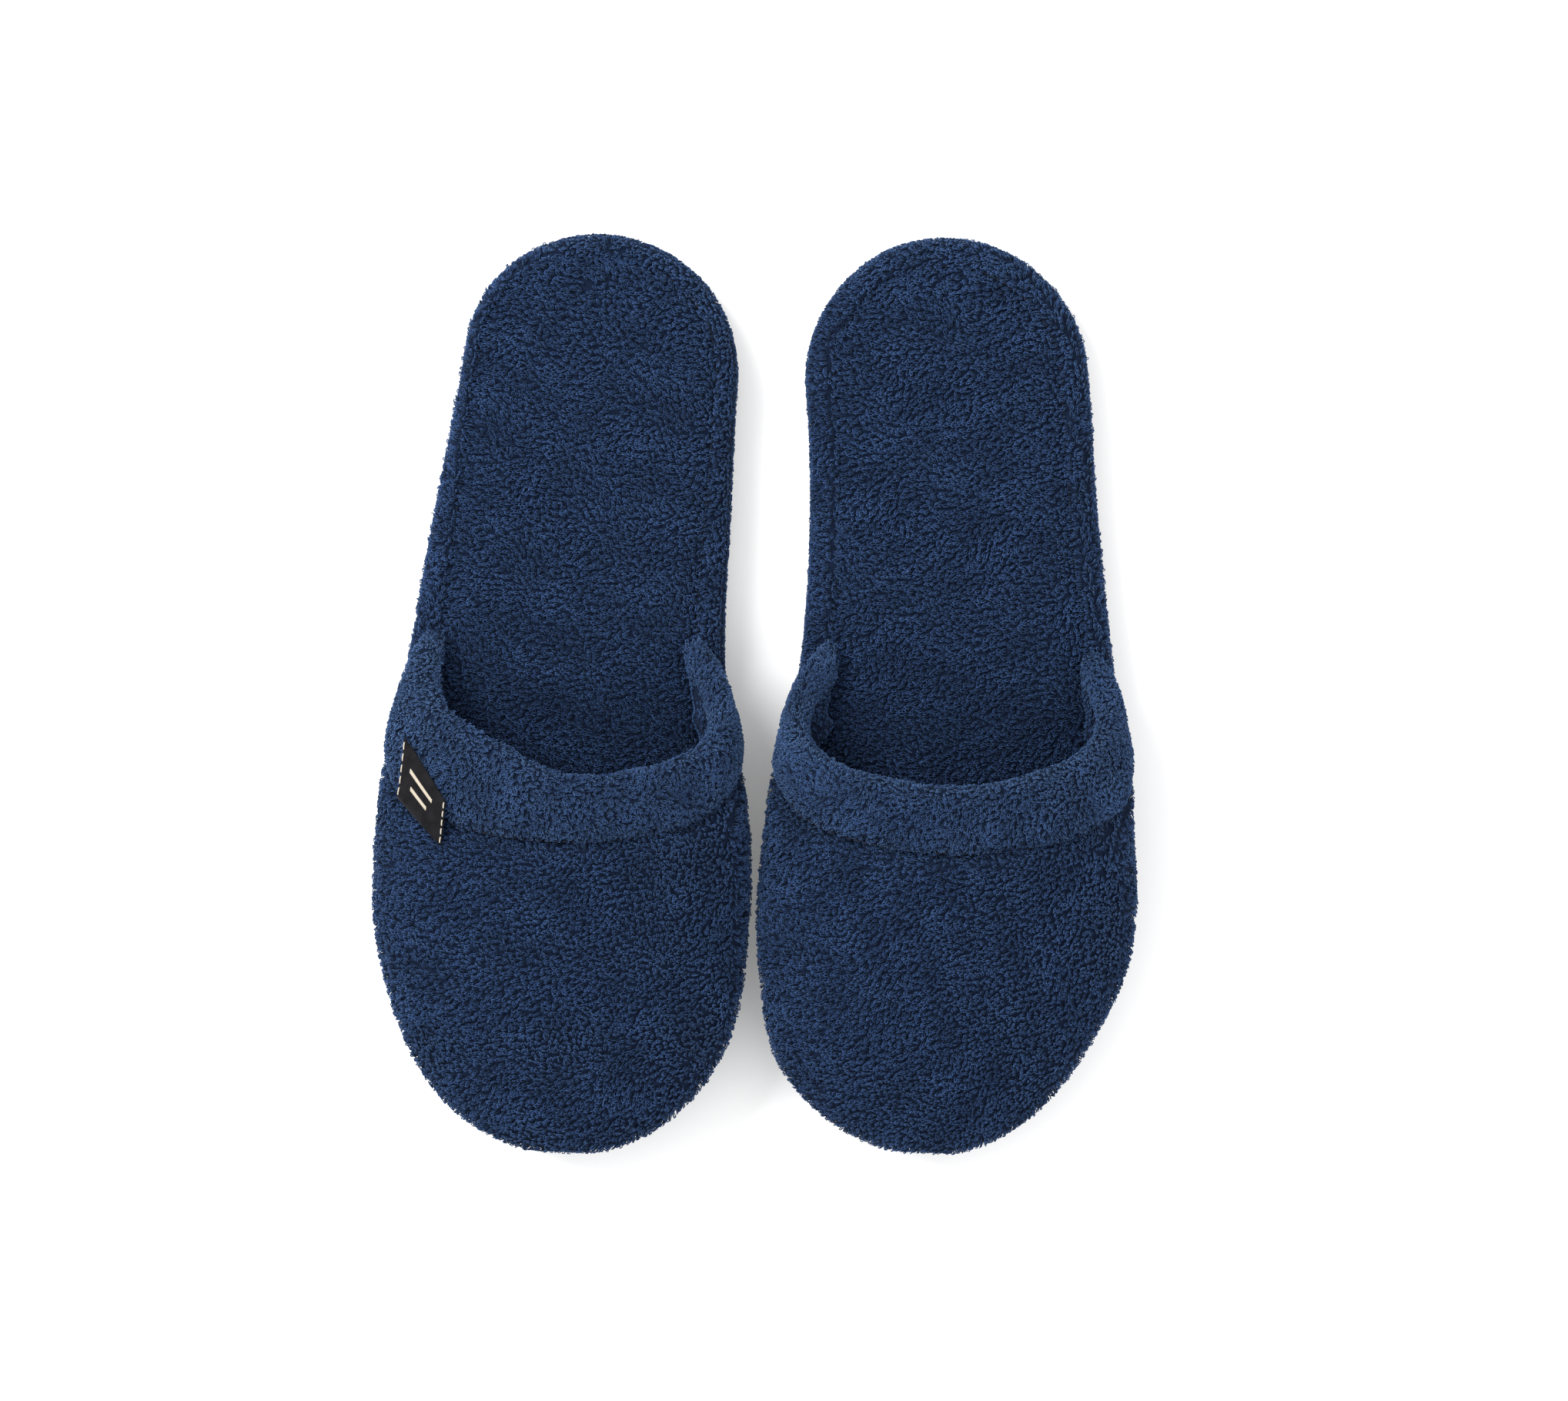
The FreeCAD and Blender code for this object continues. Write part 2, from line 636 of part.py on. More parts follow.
def make_label_stitches():
    """Short stitches across both ends of the label, as a group of separate solids."""
    face = ABOVE_BAND + " - contact_gap - label_thickness"
    shell = cut("label_stitch_shell", vamp_form(face + " - label_stitch_rise"), vamp_form(face))
    bars = []
    stitches_per_end = round(value_of("label_stitches_per_end"))
    end_margin = value_of("label_end_margin")
    corners = [FreeCAD.Vector(corner[0], corner[1], 0) for corner in LABEL_CORNERS]
    for end, (start, finish, other) in enumerate(
        ((corners[0], corners[3], corners[1]), (corners[1], corners[2], corners[0]))
    ):
        direction = (finish - start).normalize()
        inwards = (other - start).normalize()
        pitch = (finish - start).Length / stitches_per_end
        for number in range(stitches_per_end):
            middle = start + direction * (pitch * (number + 0.5)) + inwards * end_margin
            bar = doc.addObject("Part::Box", "label_stitch_%d_%d" % (end, number))
            bar.Height = CUTTER_HEIGHT
            bar.setExpression("Length", named("label_stitch_length"))
            bar.setExpression("Width", named("label_stitch_width"))
            turn = FreeCAD.Rotation(FreeCAD.Vector(1, 0, 0), direction)
            half = FreeCAD.Vector(value_of("label_stitch_length") / 2, value_of("label_stitch_width") / 2, 0)
            bar.Placement = FreeCAD.Placement(middle - turn.multVec(half), turn)
            bar.setExpression(".Placement.Base.z", named("label_lowest"))
            bars.append(bar)
    row = doc.addObject("Part::MultiFuse", "label_stitch_bars")
    row.Shapes = bars
    return common("label_stitches", shell, row)


# ---------------------------------------------------------------------------------------------------
# Assembly
# ---------------------------------------------------------------------------------------------------

sole_layers = {
    "outsole": make_outsole(),
    "midsole": make_midsole(),
    "cushion": make_cushion(),
    "footbed": make_footbed(),
    "wrapper": make_wrapper(),
    "feather_seam": make_feather_seam(),
}
heel_block = make_block("heel_block", BEHIND_HEEL, "flex_y + flex_gap / 2")
front_block = make_block("front_block", "flex_y - flex_gap / 2", AHEAD_OF_TOE)

pieces = {}
for layer_name, layer in sole_layers.items():
    pieces[layer_name + "_front"] = common(layer_name + "_front", layer, front_block)
    pieces[layer_name + "_heel"] = common(layer_name + "_heel", layer, heel_block)
pieces.update(make_vamp_layers())
pieces["collar_band"] = make_collar_band()
pieces["collar_seam"] = make_collar_seam()

nodes = []


def mirror_image(name, source):
    """The same piece on the right slipper."""
    image = doc.addObject("Part::Mirroring", "right_" + name)
    image.Source = source
    image.Base = FreeCAD.Vector(0, 0, 0)
    image.Normal = FreeCAD.Vector(1, 0, 0)
    image.Label = "right_" + name
    nodes.append(image)


for piece_name, piece in pieces.items():
    piece.Label = "left_" + piece_name
    nodes.append(piece)
    mirror_image(piece_name, piece)
mirror_image("label", make_label())
mirror_image("label_stitches", make_label_stitches())

doc.recompute()

# ---------------------------------------------------------------------------------------------------
# Checks and export
# ---------------------------------------------------------------------------------------------------

for item in doc.Objects:
    if "Invalid" in item.State or "Error" in item.State:
        raise RuntimeError("%s did not compute: %s" % (item.Name, item.State))

os.makedirs("parts", exist_ok=True)
for node in nodes:
    shape = node.Shape
    if shape.isNull() or not shape.isValid() or not shape.Solids:
        raise RuntimeError(node.Label + " has no valid solid")
    shape.exportStep("parts/%s.step" % node.Label)
    box = shape.optimalBoundingBox(False)
    print("%-26s %d solids, %.1f cubic mm" % (node.Label, len(shape.Solids), shape.Volume), end="")
    print(", x %.1f to %.1f, y %.1f to %.1f" % (box.XMin, box.XMax, box.YMin, box.YMax), end="")
    print(", z %.2f to %.2f" % (box.ZMin, box.ZMax))
print("%d sub-parts" % len(nodes))
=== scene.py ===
import math

import bpy
import numpy as np
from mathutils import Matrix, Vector
from mathutils.bvhtree import BVHTree


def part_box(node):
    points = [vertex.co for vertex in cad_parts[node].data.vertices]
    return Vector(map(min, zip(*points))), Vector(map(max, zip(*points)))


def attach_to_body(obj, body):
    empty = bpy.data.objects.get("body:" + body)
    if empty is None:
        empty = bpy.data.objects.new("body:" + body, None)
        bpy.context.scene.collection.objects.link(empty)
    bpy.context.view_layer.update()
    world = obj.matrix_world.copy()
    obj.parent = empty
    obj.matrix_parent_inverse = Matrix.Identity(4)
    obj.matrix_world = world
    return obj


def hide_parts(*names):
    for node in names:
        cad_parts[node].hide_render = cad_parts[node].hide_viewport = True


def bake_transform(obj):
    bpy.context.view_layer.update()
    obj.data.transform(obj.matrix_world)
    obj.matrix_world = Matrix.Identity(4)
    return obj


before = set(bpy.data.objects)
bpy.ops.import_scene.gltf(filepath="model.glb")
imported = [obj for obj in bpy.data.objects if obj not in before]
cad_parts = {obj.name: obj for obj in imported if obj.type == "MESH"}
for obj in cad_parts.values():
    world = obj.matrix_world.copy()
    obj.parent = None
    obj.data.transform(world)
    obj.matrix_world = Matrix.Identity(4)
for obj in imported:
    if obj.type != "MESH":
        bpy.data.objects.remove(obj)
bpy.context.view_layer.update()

# A pair of terry spa slippers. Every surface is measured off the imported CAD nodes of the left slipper
# by rays, moved inwards by the depth of the pile, and covered with real loops of yarn. The right
# slipper is built from the same measurements, mirrored, with its own random pile.
# Everything is in metres: +Z up, toes towards -Y, the left slipper at +X.

MM = 0.001
SIDES = {"left": 1.0, "right": -1.0}

# -------- Places and sizes read from the frame --------

band_low, band_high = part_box("left_collar_band")
heel_low, heel_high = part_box("left_wrapper_heel")
footbed_low, footbed_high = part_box("left_footbed_heel")

SEAM_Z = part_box("left_vamp_terry")[0].z
FLOOR_SHEET_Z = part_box("left_outsole_front")[1].z
WING_Y = band_high.y
MIDDLE_X = (band_low.x + band_high.x) / 2
SOLE_X = (heel_low.x + heel_high.x) / 2
HEEL_Y = heel_high.y
SEAM_INSET = HEEL_Y - footbed_high.y - 0.4 * MM
OUTSOLE_INSET = HEEL_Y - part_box("left_outsole_heel")[1].y
FOAM_INSET = HEEL_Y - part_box("left_midsole_heel")[1].y

# Depths below the CAD surfaces. The pile fills the space between the ground cloth and the surface.
GROUND_DEPTH = 1.6 * MM
CLOTH_THICKNESS = 0.9 * MM
BAND_RISE = 1.5 * MM
BAND_WIDTH = 23 * MM
PADDING_DEPTHS = (2.4 * MM, 4.2 * MM)
LINING_DEPTHS = (4.4 * MM, 6.0 * MM)


def node_tree(*nodes):
    """The faces of CAD nodes, to measure with rays."""
    points, faces = [], []
    for node in nodes:
        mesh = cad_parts[node].data
        first = len(points)
        points += [v.co.copy() for v in mesh.vertices]
        faces += [[first + i for i in p.vertices] for p in mesh.polygons]
    return BVHTree.FromPolygons(points, faces)


def outer_reach(tree, centre, direction, far=0.3):
    """How far from a centre the outermost face lies along a direction."""
    start = Vector(centre) + Vector(direction) * far
    place = tree.ray_cast(start, -Vector(direction), far)[0]
    return math.nan if place is None else (place - Vector(centre)).length


def filled(values):
    """A row of measures with each miss taken from its neighbours."""
    values = np.asarray(values, float)
    good = np.isfinite(values)
    index = np.arange(len(values))
    return np.interp(index, index[good], values[good])


def unit(vectors):
    return vectors / np.maximum(np.linalg.norm(vectors, axis=-1, keepdims=True), 1e-12)


def lengths_along(line):
    """How far along a line of points each of them lies."""
    return np.concatenate([[0], np.cumsum(np.linalg.norm(np.diff(line, axis=0), axis=1))])


def turns(count, extra=0):
    """Angles of evenly spaced places round a circle."""
    return np.arange(count + extra) / count * 2 * math.pi


def smooth_step(value, low, high):
    t = np.clip((value - low) / (high - low), 0, 1)
    return t * t * (3 - 2 * t)


# -------- Sole outline --------

OUTLINE_COUNT = 360
OUTLINE_Z = 9 * MM


def measure_outline():
    """Points round the sole's widest line, evenly spaced, and their outward normals."""
    tree = node_tree("left_wrapper_front", "left_wrapper_heel")
    centre = Vector((SOLE_X, 0, OUTLINE_Z))
    angles = np.linspace(0, 2 * math.pi, 4 * OUTLINE_COUNT, endpoint=False)
    reaches = filled([outer_reach(tree, centre, (math.cos(a), math.sin(a), 0)) for a in angles])
    line = np.stack([centre.x + reaches * np.cos(angles), reaches * np.sin(angles)], axis=1)
    closed = np.vstack([line, line[:1]])
    along = lengths_along(closed)
    at = np.linspace(0, along[-1], OUTLINE_COUNT, endpoint=False)
    points = np.stack([np.interp(at, along, closed[:, k]) for k in range(2)], axis=1)
    tangents = np.roll(points, -3, axis=0) - np.roll(points, 3, axis=0)
    return points, unit(np.stack([tangents[:, 1], -tangents[:, 0]], axis=1))


OUTLINE, OUTLINE_NORMALS = measure_outline()
# How far each place of the outline faces the outer side, and the inner side.
OUTER = np.clip(OUTLINE_NORMALS[:, 0], 0, 1)
INNER = np.clip(-OUTLINE_NORMALS[:, 0], 0, 1)


def hump(values, middle, reach):
    return np.exp(-(((values - middle) / reach) ** 2))


def outline_of(side):
    """The left slipper's heel is a little full on its outer side; the right one's is slimmer there,
    and fuller along its waist."""
    y = OUTLINE[:, 1]
    if side == "left":
        swell = 2.0 * MM * OUTER * hump(y, 108 * MM, 34 * MM)
    else:
        swell = 2.8 * MM * INNER * hump(y, 58 * MM, 40 * MM) - 1.5 * MM * OUTER * hump(y, 100 * MM, 40 * MM)
    return OUTLINE + OUTLINE_NORMALS * swell[:, None]


def seam_insets(side):
    """How far inside the outline the feather seam runs. On the right heel it was sewn off centre."""
    insets = np.full(OUTLINE_COUNT, SEAM_INSET)
    if side == "right":
        heel = smooth_step(OUTLINE[:, 1], 20 * MM, 105 * MM)
        back = np.clip(OUTLINE_NORMALS[:, 1], 0, 1)
        insets = insets - heel * (4.6 * MM * OUTER + 2.2 * MM * INNER + 0.8 * MM * back)
    return insets


def outline_at(inset, side):
    return outline_of(side) - OUTLINE_NORMALS * np.reshape(inset, (-1, 1))


def sides_at(line, places):
    """The inner and outer X of a closed line at places along Y."""
    low, high = line[:, 1].argmin(), line[:, 1].argmax()
    turned = np.roll(line, -low, axis=0)
    split = (high - low) % len(line)
    outer, inner = turned[: split + 1], turned[split:][::-1]
    return (
        np.interp(places, inner[:, 1], inner[:, 0]),
        np.interp(places, outer[:, 1], outer[:, 0]),
    )


def sole_places(line, spacing):
    """Places along Y for rows across a sole layer, closer together at both ends."""
    low, high = line[:, 1].min() + 0.05 * MM, line[:, 1].max() - 0.05 * MM
    count = int((high - low) / spacing)
    even = np.linspace(0, 1, count)
    eased = 0.5 - 0.5 * np.cos(math.pi * even)
    return low + (high - low) * (0.55 * even + 0.45 * eased)


# -------- Meshes from grids of points --------


def placed(name, data):
    """A new object in the scene."""
    made = bpy.data.objects.new(name, data)
    bpy.context.scene.collection.objects.link(made)
    return made


def new_piece(name, side, material, points, faces, uvs):
    """A smooth mesh on one side. faces is an array of quads, and uvs has a pair for each corner."""
    points, faces, uvs = mirrored(points, faces, uvs, side)
    name = "%s_%s" % (side, name)
    mesh = bpy.data.meshes.new(name)
    mesh.vertices.add(len(points))
    mesh.vertices.foreach_set("co", np.ascontiguousarray(points, np.float32).ravel())
    mesh.loops.add(faces.size)
    mesh.loops.foreach_set("vertex_index", np.ascontiguousarray(faces, np.int32).ravel())
    mesh.polygons.add(len(faces))
    mesh.polygons.foreach_set("loop_start", np.arange(0, faces.size, 4, dtype=np.int32))
    layer = mesh.uv_layers.new(name="OFBake")
    layer.data.foreach_set("uv", np.ascontiguousarray(uvs, np.float32).ravel())
    mesh.update(calc_edges=True)
    mesh.shade_smooth()
    mesh.materials.append(MATERIALS[material])
    return placed(name, mesh)


def in_tile(share):
    """A UV that keeps clear of the tile's edges."""
    return 0.02 + 0.96 * share


def corner_pairs(u0, u1, v0, v1):
    """The UVs of quads from the low and high U and V of each."""
    pairs = (u0, v0), (u1, v0), (u1, v1), (u0, v1)
    return np.stack([np.stack(pair, 1) for pair in pairs], 1).reshape(-1, 2)


def grid_quads(rows, columns, closed_rows, closed_columns, area):
    """Quads over a grid of points and their UVs inside an area (left, bottom, right, top)."""
    row_steps = rows if closed_rows else rows - 1
    column_steps = columns if closed_columns else columns - 1
    i, j = np.meshgrid(np.arange(row_steps), np.arange(column_steps), indexing="ij")
    i, j = i.ravel(), j.ravel()
    right, above = (j + 1) % columns, (i + 1) % rows
    quads = np.stack([i * columns + j, i * columns + right, above * columns + right, above * columns + j], 1)
    left, bottom, width, height = area[0], area[1], area[2] - area[0], area[3] - area[1]
    u0, u1 = left + width * j / column_steps, left + width * (j + 1) / column_steps
    v0, v1 = bottom + height * i / row_steps, bottom + height * (i + 1) / row_steps
    return quads, corner_pairs(u0, u1, v0, v1)


# How far the outer side of the toe stands out, and how far the toe and the heel reach beyond
# the sole that was measured. The two slippers are not quite alike.
END_SHAPES = {"left": (-3.3 * MM, -1.7 * MM, 0.9 * MM), "right": (1.8 * MM, 1.5 * MM, -1.2 * MM)}


def as_made(points, side):
    """Points of the left slipper with the toe and heel of one side."""
    toe_width, toe_length, heel_length = END_SHAPES[side]
    x, y = points[:, 0], points[:, 1]
    outer = smooth_step(x, MIDDLE_X - 15 * MM, MIDDLE_X + 35 * MM)
    moved = points.copy()
    moved[:, 0] += toe_width * outer * smooth_step(-y, 80 * MM, 122 * MM)
    moved[:, 1] -= toe_length * smooth_step(-y, 112 * MM, 146 * MM)
    moved[:, 1] += heel_length * smooth_step(y, 118 * MM, 146 * MM)
    return moved


def mirrored(points, faces, uvs, side):
    """The same mesh on its own slipper. On the right one X changes sign, and each face turns round."""
    points = as_made(points, side)
    if SIDES[side] > 0:
        return points, faces, uvs
    flipped = points.copy()
    flipped[:, 0] *= -1
    return flipped, faces[:, ::-1], uvs.reshape(-1, 4, 2)[:, ::-1].reshape(-1, 2)


def ring_piece(name, side, material, grid):
    """A closed section swept round a closed line."""
    rows, columns = grid.shape[:2]
    faces, uvs = grid_quads(rows, columns, True, True, (0.02, 0.02, 0.98, 0.98))
    return new_piece(name, side, material, grid.reshape(-1, 3), faces, uvs)


def shell_piece(name, side, material, top, bottom):
    """A closed sheet between two grids of the same size, its rim stitched with quads."""
    rows, columns = top.shape[:2]
    count = rows * columns
    top_faces, top_uvs = grid_quads(rows, columns, False, False, (0.02, 0.02, 0.98, 0.62))
    low_faces, low_uvs = grid_quads(rows, columns, False, False, (0.02, 0.66, 0.98, 0.9))
    index = np.arange(count).reshape(rows, columns)
    rim = np.concatenate([index[0, :-1], index[:-1, -1], index[-1, :0:-1], index[:0:-1, 0]])
    after = np.roll(rim, -1)
    rim_faces = np.stack([rim + count, after + count, after, rim], 1)
    share = np.arange(len(rim)) / len(rim)
    step = 1 / len(rim)
    u0, u1 = in_tile(share), in_tile(share + step)
    v0, v1 = np.full(len(rim), 0.93), np.full(len(rim), 0.98)
    points = np.vstack([top.reshape(-1, 3), bottom.reshape(-1, 3)])
    faces = np.vstack([top_faces, low_faces[:, ::-1] + count, rim_faces])
    low_uvs = low_uvs.reshape(-1, 4, 2)[:, ::-1].reshape(-1, 2)
    uvs = np.vstack([top_uvs, low_uvs, corner_pairs(u0, u1, v0, v1)])
    return new_piece(name, side, material, points, faces, uvs)


def grid_normals(grid, closed_rows=False):
    """Unit normals of a grid, from rows towards columns."""
    if closed_rows:
        down = np.roll(grid, -1, axis=0) - np.roll(grid, 1, axis=0)
    else:
        down = np.gradient(grid, axis=0)
    across = np.gradient(grid, axis=1)
    return unit(np.cross(across, down))


def outward_normals(grid, row=None):
    """Unit normals of a grid over the foot, on the side that faces up in the middle of a row."""
    normals = grid_normals(grid)
    middle = normals[grid.shape[0] // 2 if row is None else row, grid.shape[1] // 2]
    return normals if middle[2] > 0 else -normals


# -------- Pile: loops of yarn --------

LOOP_POINTS = 6
LOOP_SIDES = 3
LOOPS_PER_PIECE = 5200


def soft_noise(places, seed, size):
    """A smooth random field over X and Y, about -1 to 1, whose swirls are of the given size."""
    random = np.random.default_rng(seed)
    total = np.zeros(len(places))
    for _ in range(7):
        turn = random.uniform(0, 2 * math.pi)
        wave = 2 * math.pi / (size * random.uniform(0.7, 1.9))
        total += np.sin(wave * (places[:, 0] * math.cos(turn) + places[:, 1] * math.sin(turn)) + turn * 3)
    return total / 3.2


def scatter(grid, normals, pitch, spacing, random):
    """Jittered rows of places over a grid: their points, normals and directions along the row."""
    rows, columns = grid.shape[:2]
    steps = np.linalg.norm(np.diff(grid, axis=0), axis=2)
    longest = np.maximum(np.percentile(steps, 95, axis=1), 1e-6)
    travelled = np.concatenate([[0], np.cumsum(longest)])
    row_count = max(2, int(round(travelled[-1] / pitch)))
    found = []
    for row in range(row_count):
        v = np.interp((row + 0.5) / row_count * travelled[-1], travelled, np.arange(rows))
        low = min(int(v), rows - 2)
        line = grid[low] + (grid[low + 1] - grid[low]) * (v - low)
        along = lengths_along(line)
        count = int(along[-1] / spacing)
        if count < 1:
            continue
        places = np.arange(count) + random.uniform(0.18, 0.82, count)
        u = np.interp(places * along[-1] / count, along, np.arange(columns))
        room = np.interp(u, np.arange(columns), steps[low]) / longest[low]
        keep = random.random(count) < room
        wander = 0.34 * pitch / longest[low] * random.uniform(-1, 1, count)
        found.append(np.stack([np.clip(v + wander, 0, rows - 1.001)[keep], u[keep]], 1))
    v, u = np.concatenate(found).T
    i, j = np.minimum(v.astype(int), rows - 2), np.minimum(u.astype(int), columns - 2)
    s, t = (v - i)[:, None], (u - j)[:, None]

    def blend_of(field):
        low = field[i, j] * (1 - t) + field[i, j + 1] * t
        high = field[i + 1, j] * (1 - t) + field[i + 1, j + 1] * t
        return low * (1 - s) + high * s

    return blend_of(grid), unit(blend_of(normals)), unit(grid[i, j + 1] - grid[i, j])


def flow_over(normals, heading):
    """A heading laid flat on the surface at each place."""
    return unit(heading - normals * (heading * normals).sum(1, keepdims=True))


def turned(vectors, normals, angles):
    """Tangent vectors turned about the normals."""
    return vectors * np.cos(angles)[:, None] + np.cross(normals, vectors) * np.sin(angles)[:, None]


def pile_points(roots, normals, flow, size, yarn, random):
    """Closed rings of points: each loop leaves the ground, leans along the flow and comes back."""
    count = len(roots)
    length, width, height = size
    across = np.cross(normals, flow)
    turn = turns(LOOP_POINTS)
    out = (1 - np.cos(turn)) / 2
    droop = random.uniform(0.05, 0.5, count)
    roll = random.normal(0, 0.6, count)
    bow = random.normal(0, 0.22, count)
    lean = length[:, None] * out ** 1.25
    swing = width[:, None] / 2 * np.sin(turn) * (0.35 + 0.65 * out)
    rise = height[:, None] * (out ** 0.55 * 1.12 - droop[:, None] * out ** 3) - 0.5 * MM * (1 - out) ** 3
    side = swing * np.cos(roll)[:, None] + (bow * length)[:, None] * out ** 2
    lift = rise + swing * np.sin(roll)[:, None] * 0.8
    path = (
        roots[:, None]
        + flow[:, None] * lean[..., None]
        + across[:, None] * side[..., None]
        + normals[:, None] * lift[..., None]
    )
    ahead = unit(np.roll(path, -1, axis=1) - np.roll(path, 1, axis=1))
    first = unit(np.cross(ahead, normals[:, None] + 0.4 * flow[:, None]))
    second = np.cross(first, ahead)
    around = turns(LOOP_SIDES)
    thick = yarn[:, None] * (0.85 + 0.3 * out)
    ring = first[:, :, None] * np.cos(around)[:, None] + second[:, :, None] * np.sin(around)[:, None]
    return path[:, :, None] + ring * thick[:, :, None, None]


def pile_piece(name, side, material, points, tints):
    """One mesh of many loops. Its UVs are the height along the loop and the loop's tint, which holds its
    random tone and, in places, painted shade and painted light.
    """
    count = len(points)
    i, j = np.meshgrid(np.arange(LOOP_POINTS), np.arange(LOOP_SIDES), indexing="ij")
    i, j = i.ravel(), j.ravel()
    low, high = i * LOOP_SIDES, (i + 1) % LOOP_POINTS * LOOP_SIDES
    beside = (j + 1) % LOOP_SIDES
    quad = np.stack([low + j, low + beside, high + beside, high + j], 1)
    size = LOOP_POINTS * LOOP_SIDES
    faces = (quad[None] + np.arange(count)[:, None, None] * size).reshape(-1, 4)
    out = (1 - np.cos(turns(LOOP_POINTS, extra=1))) / 2
    low, high = in_tile(out[i]), in_tile(out[i + 1])
    u = np.tile(np.stack([low, low, high, high], 1).ravel(), count)
    v = np.repeat(in_tile(tints), 4 * len(quad))
    return new_piece(name, side, material, points.reshape(-1, 3), faces, np.stack([u, v], 1))


def attach(piece, side, bends, node=None):
    """Places a piece and hides the CAD nodes it stands in for. The sole is soft; its layers have their
    transform baked into the mesh and hang on no body. The rest rides the forefoot."""
    if bends:
        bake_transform(piece)
    else:
        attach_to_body(piece, side + "_forefoot")
    if node:
        halves = ("_front", "_heel") if bends else ("",)
        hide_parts(*["%s_%s%s" % (side, node, half) for half in halves])
    return piece


def grow(name, places, flow, style, side, seed, bends, stature=1.0, shade=0.0, material="pile"):
    """Covers places with loops of one style, as pieces of a few thousand loops each."""
    roots, normals = places
    random = np.random.default_rng(seed)
    count = len(roots)
    swirl = soft_noise(roots, seed + 1, style["swirl_size"]) * style["swirl"]
    flow = turned(flow, normals, swirl + random.normal(0, style["scatter"], count))
    vary = random.uniform(0.78, 1.22, (3, count))
    size = style["length"] * vary[0], style["width"] * vary[1], style["height"] * vary[2] * stature
    yarn = style["yarn"] * random.uniform(0.88, 1.12, count)
    points = pile_points(roots, normals, flow, size, yarn, random)
    patches = 0.5 + 0.28 * soft_noise(roots, seed + 2, 14 * MM)
    # The tint: random patches and tone, plus the style's and the caller's shade offsets, which in places are
    # painted shade and painted light.
    tints = np.clip(patches + random.normal(0, 0.2, count) + style["shade"] + shade, 0, 1)
    order = np.argsort(roots[:, 1])
    pieces = []
    chunks = np.array_split(order, max(1, math.ceil(count / LOOPS_PER_PIECE)))
    for number, chunk in enumerate(chunks, start=1):
        piece = pile_piece("%s_%d" % (name, number), side, material, points[chunk], tints[chunk])
        pieces.append(attach(piece, side, bends))
    return pieces


def pile_style(length, width, height, yarn, swirl, swirl_size, scatter, shade):
    """Sizes in millimetres; swirl and scatter are turns of the loops in radians."""
    return {
        "length": length * MM, "width": width * MM, "height": height * MM, "yarn": yarn * MM,
        "swirl": swirl, "swirl_size": swirl_size * MM, "scatter": scatter, "shade": shade,
    }


# Loops of the footbed and vamp stand up and lean over; the collar's are short and tangled; the
# wrapper's side is a low, fine pile, and its outer edge has a fringe.
LONG_PILE = pile_style(1.75, 1.25, 1.45, 0.195, 0.55, 30, 0.36, -0.03)
VAMP_PILE = pile_style(1.6, 1.2, 1.35, 0.185, 0.75, 34, 0.45, -0.07)
COLLAR_PILE = pile_style(1.65, 1.15, 1.05, 0.165, 1.1, 18, 0.75, 0.02)
LOW_PILE = pile_style(1.3, 1.05, 0.85, 0.175, 0.5, 16, 0.4, 0.05)
# The fringe's loops are lightened with painted light along the sole's rim.
FRINGE_PILE = pile_style(1.8, 1.25, 1.5, 0.195, 0.8, 14, 0.5, 0.16)


# -------- Materials --------


def new_material(name, roughness, sheen=0.0, sheen_tint=(1, 1, 1)):
    material = bpy.data.materials.new(name)
    material.use_nodes = True
    shader = material.node_tree.nodes["Principled BSDF"]
    shader.inputs["Roughness"].default_value = roughness
    shader.inputs["Sheen Weight"].default_value = sheen
    shader.inputs["Sheen Roughness"].default_value = 0.5
    shader.inputs["Sheen Tint"].default_value = (*sheen_tint, 1)
    shader.inputs["Specular IOR Level"].default_value = 0.08
    return material, material.node_tree, shader


def add_node(tree, kind, **values):
    node = tree.nodes.new(kind)
    for key, value in values.items():
        if hasattr(node, key):
            setattr(node, key, value)
        else:
            node.inputs[key.replace("_", " ")].default_value = value
    return node


def ramp_of(tree, factor, *stops):
    ramp = tree.nodes.new("ShaderNodeValToRGB")
    elements = ramp.color_ramp.elements
    while len(elements) < len(stops):
        elements.new(0.5)
    for element, (position, colour) in zip(elements, stops):
        element.position = position
        element.color = (*colour, 1)
    tree.links.new(factor, ramp.inputs["Fac"])
    return ramp.outputs["Color"]


def bump_from(tree, shader, height, strength, distance):
    bump = add_node(tree, "ShaderNodeBump", Strength=strength, Distance=distance)
    tree.links.new(height, bump.inputs["Height"])
    tree.links.new(bump.outputs["Normal"], shader.inputs["Normal"])


def texture(kind, output, **values):
    """Makes a solid texture in a material, in the object's own coordinates in metres."""

    def added_to(tree):
        made = add_node(tree, kind, **values)
        place = tree.nodes.new("ShaderNodeTexCoord")
        tree.links.new(place.outputs["Object"], made.inputs["Vector"])
        return made.outputs[output]

    return added_to


def noise(scale, detail=2.0):
    return texture("ShaderNodeTexNoise", "Fac", Scale=scale, Detail=detail)


def cells(scale):
    return texture("ShaderNodeTexVoronoi", "Distance", Scale=scale)


def ply(scale):
    """The strands of a plied thread as fine slanted bands."""
    return texture("ShaderNodeTexWave", "Fac", Scale=scale, Distortion=2.0, bands_direction="DIAGONAL")


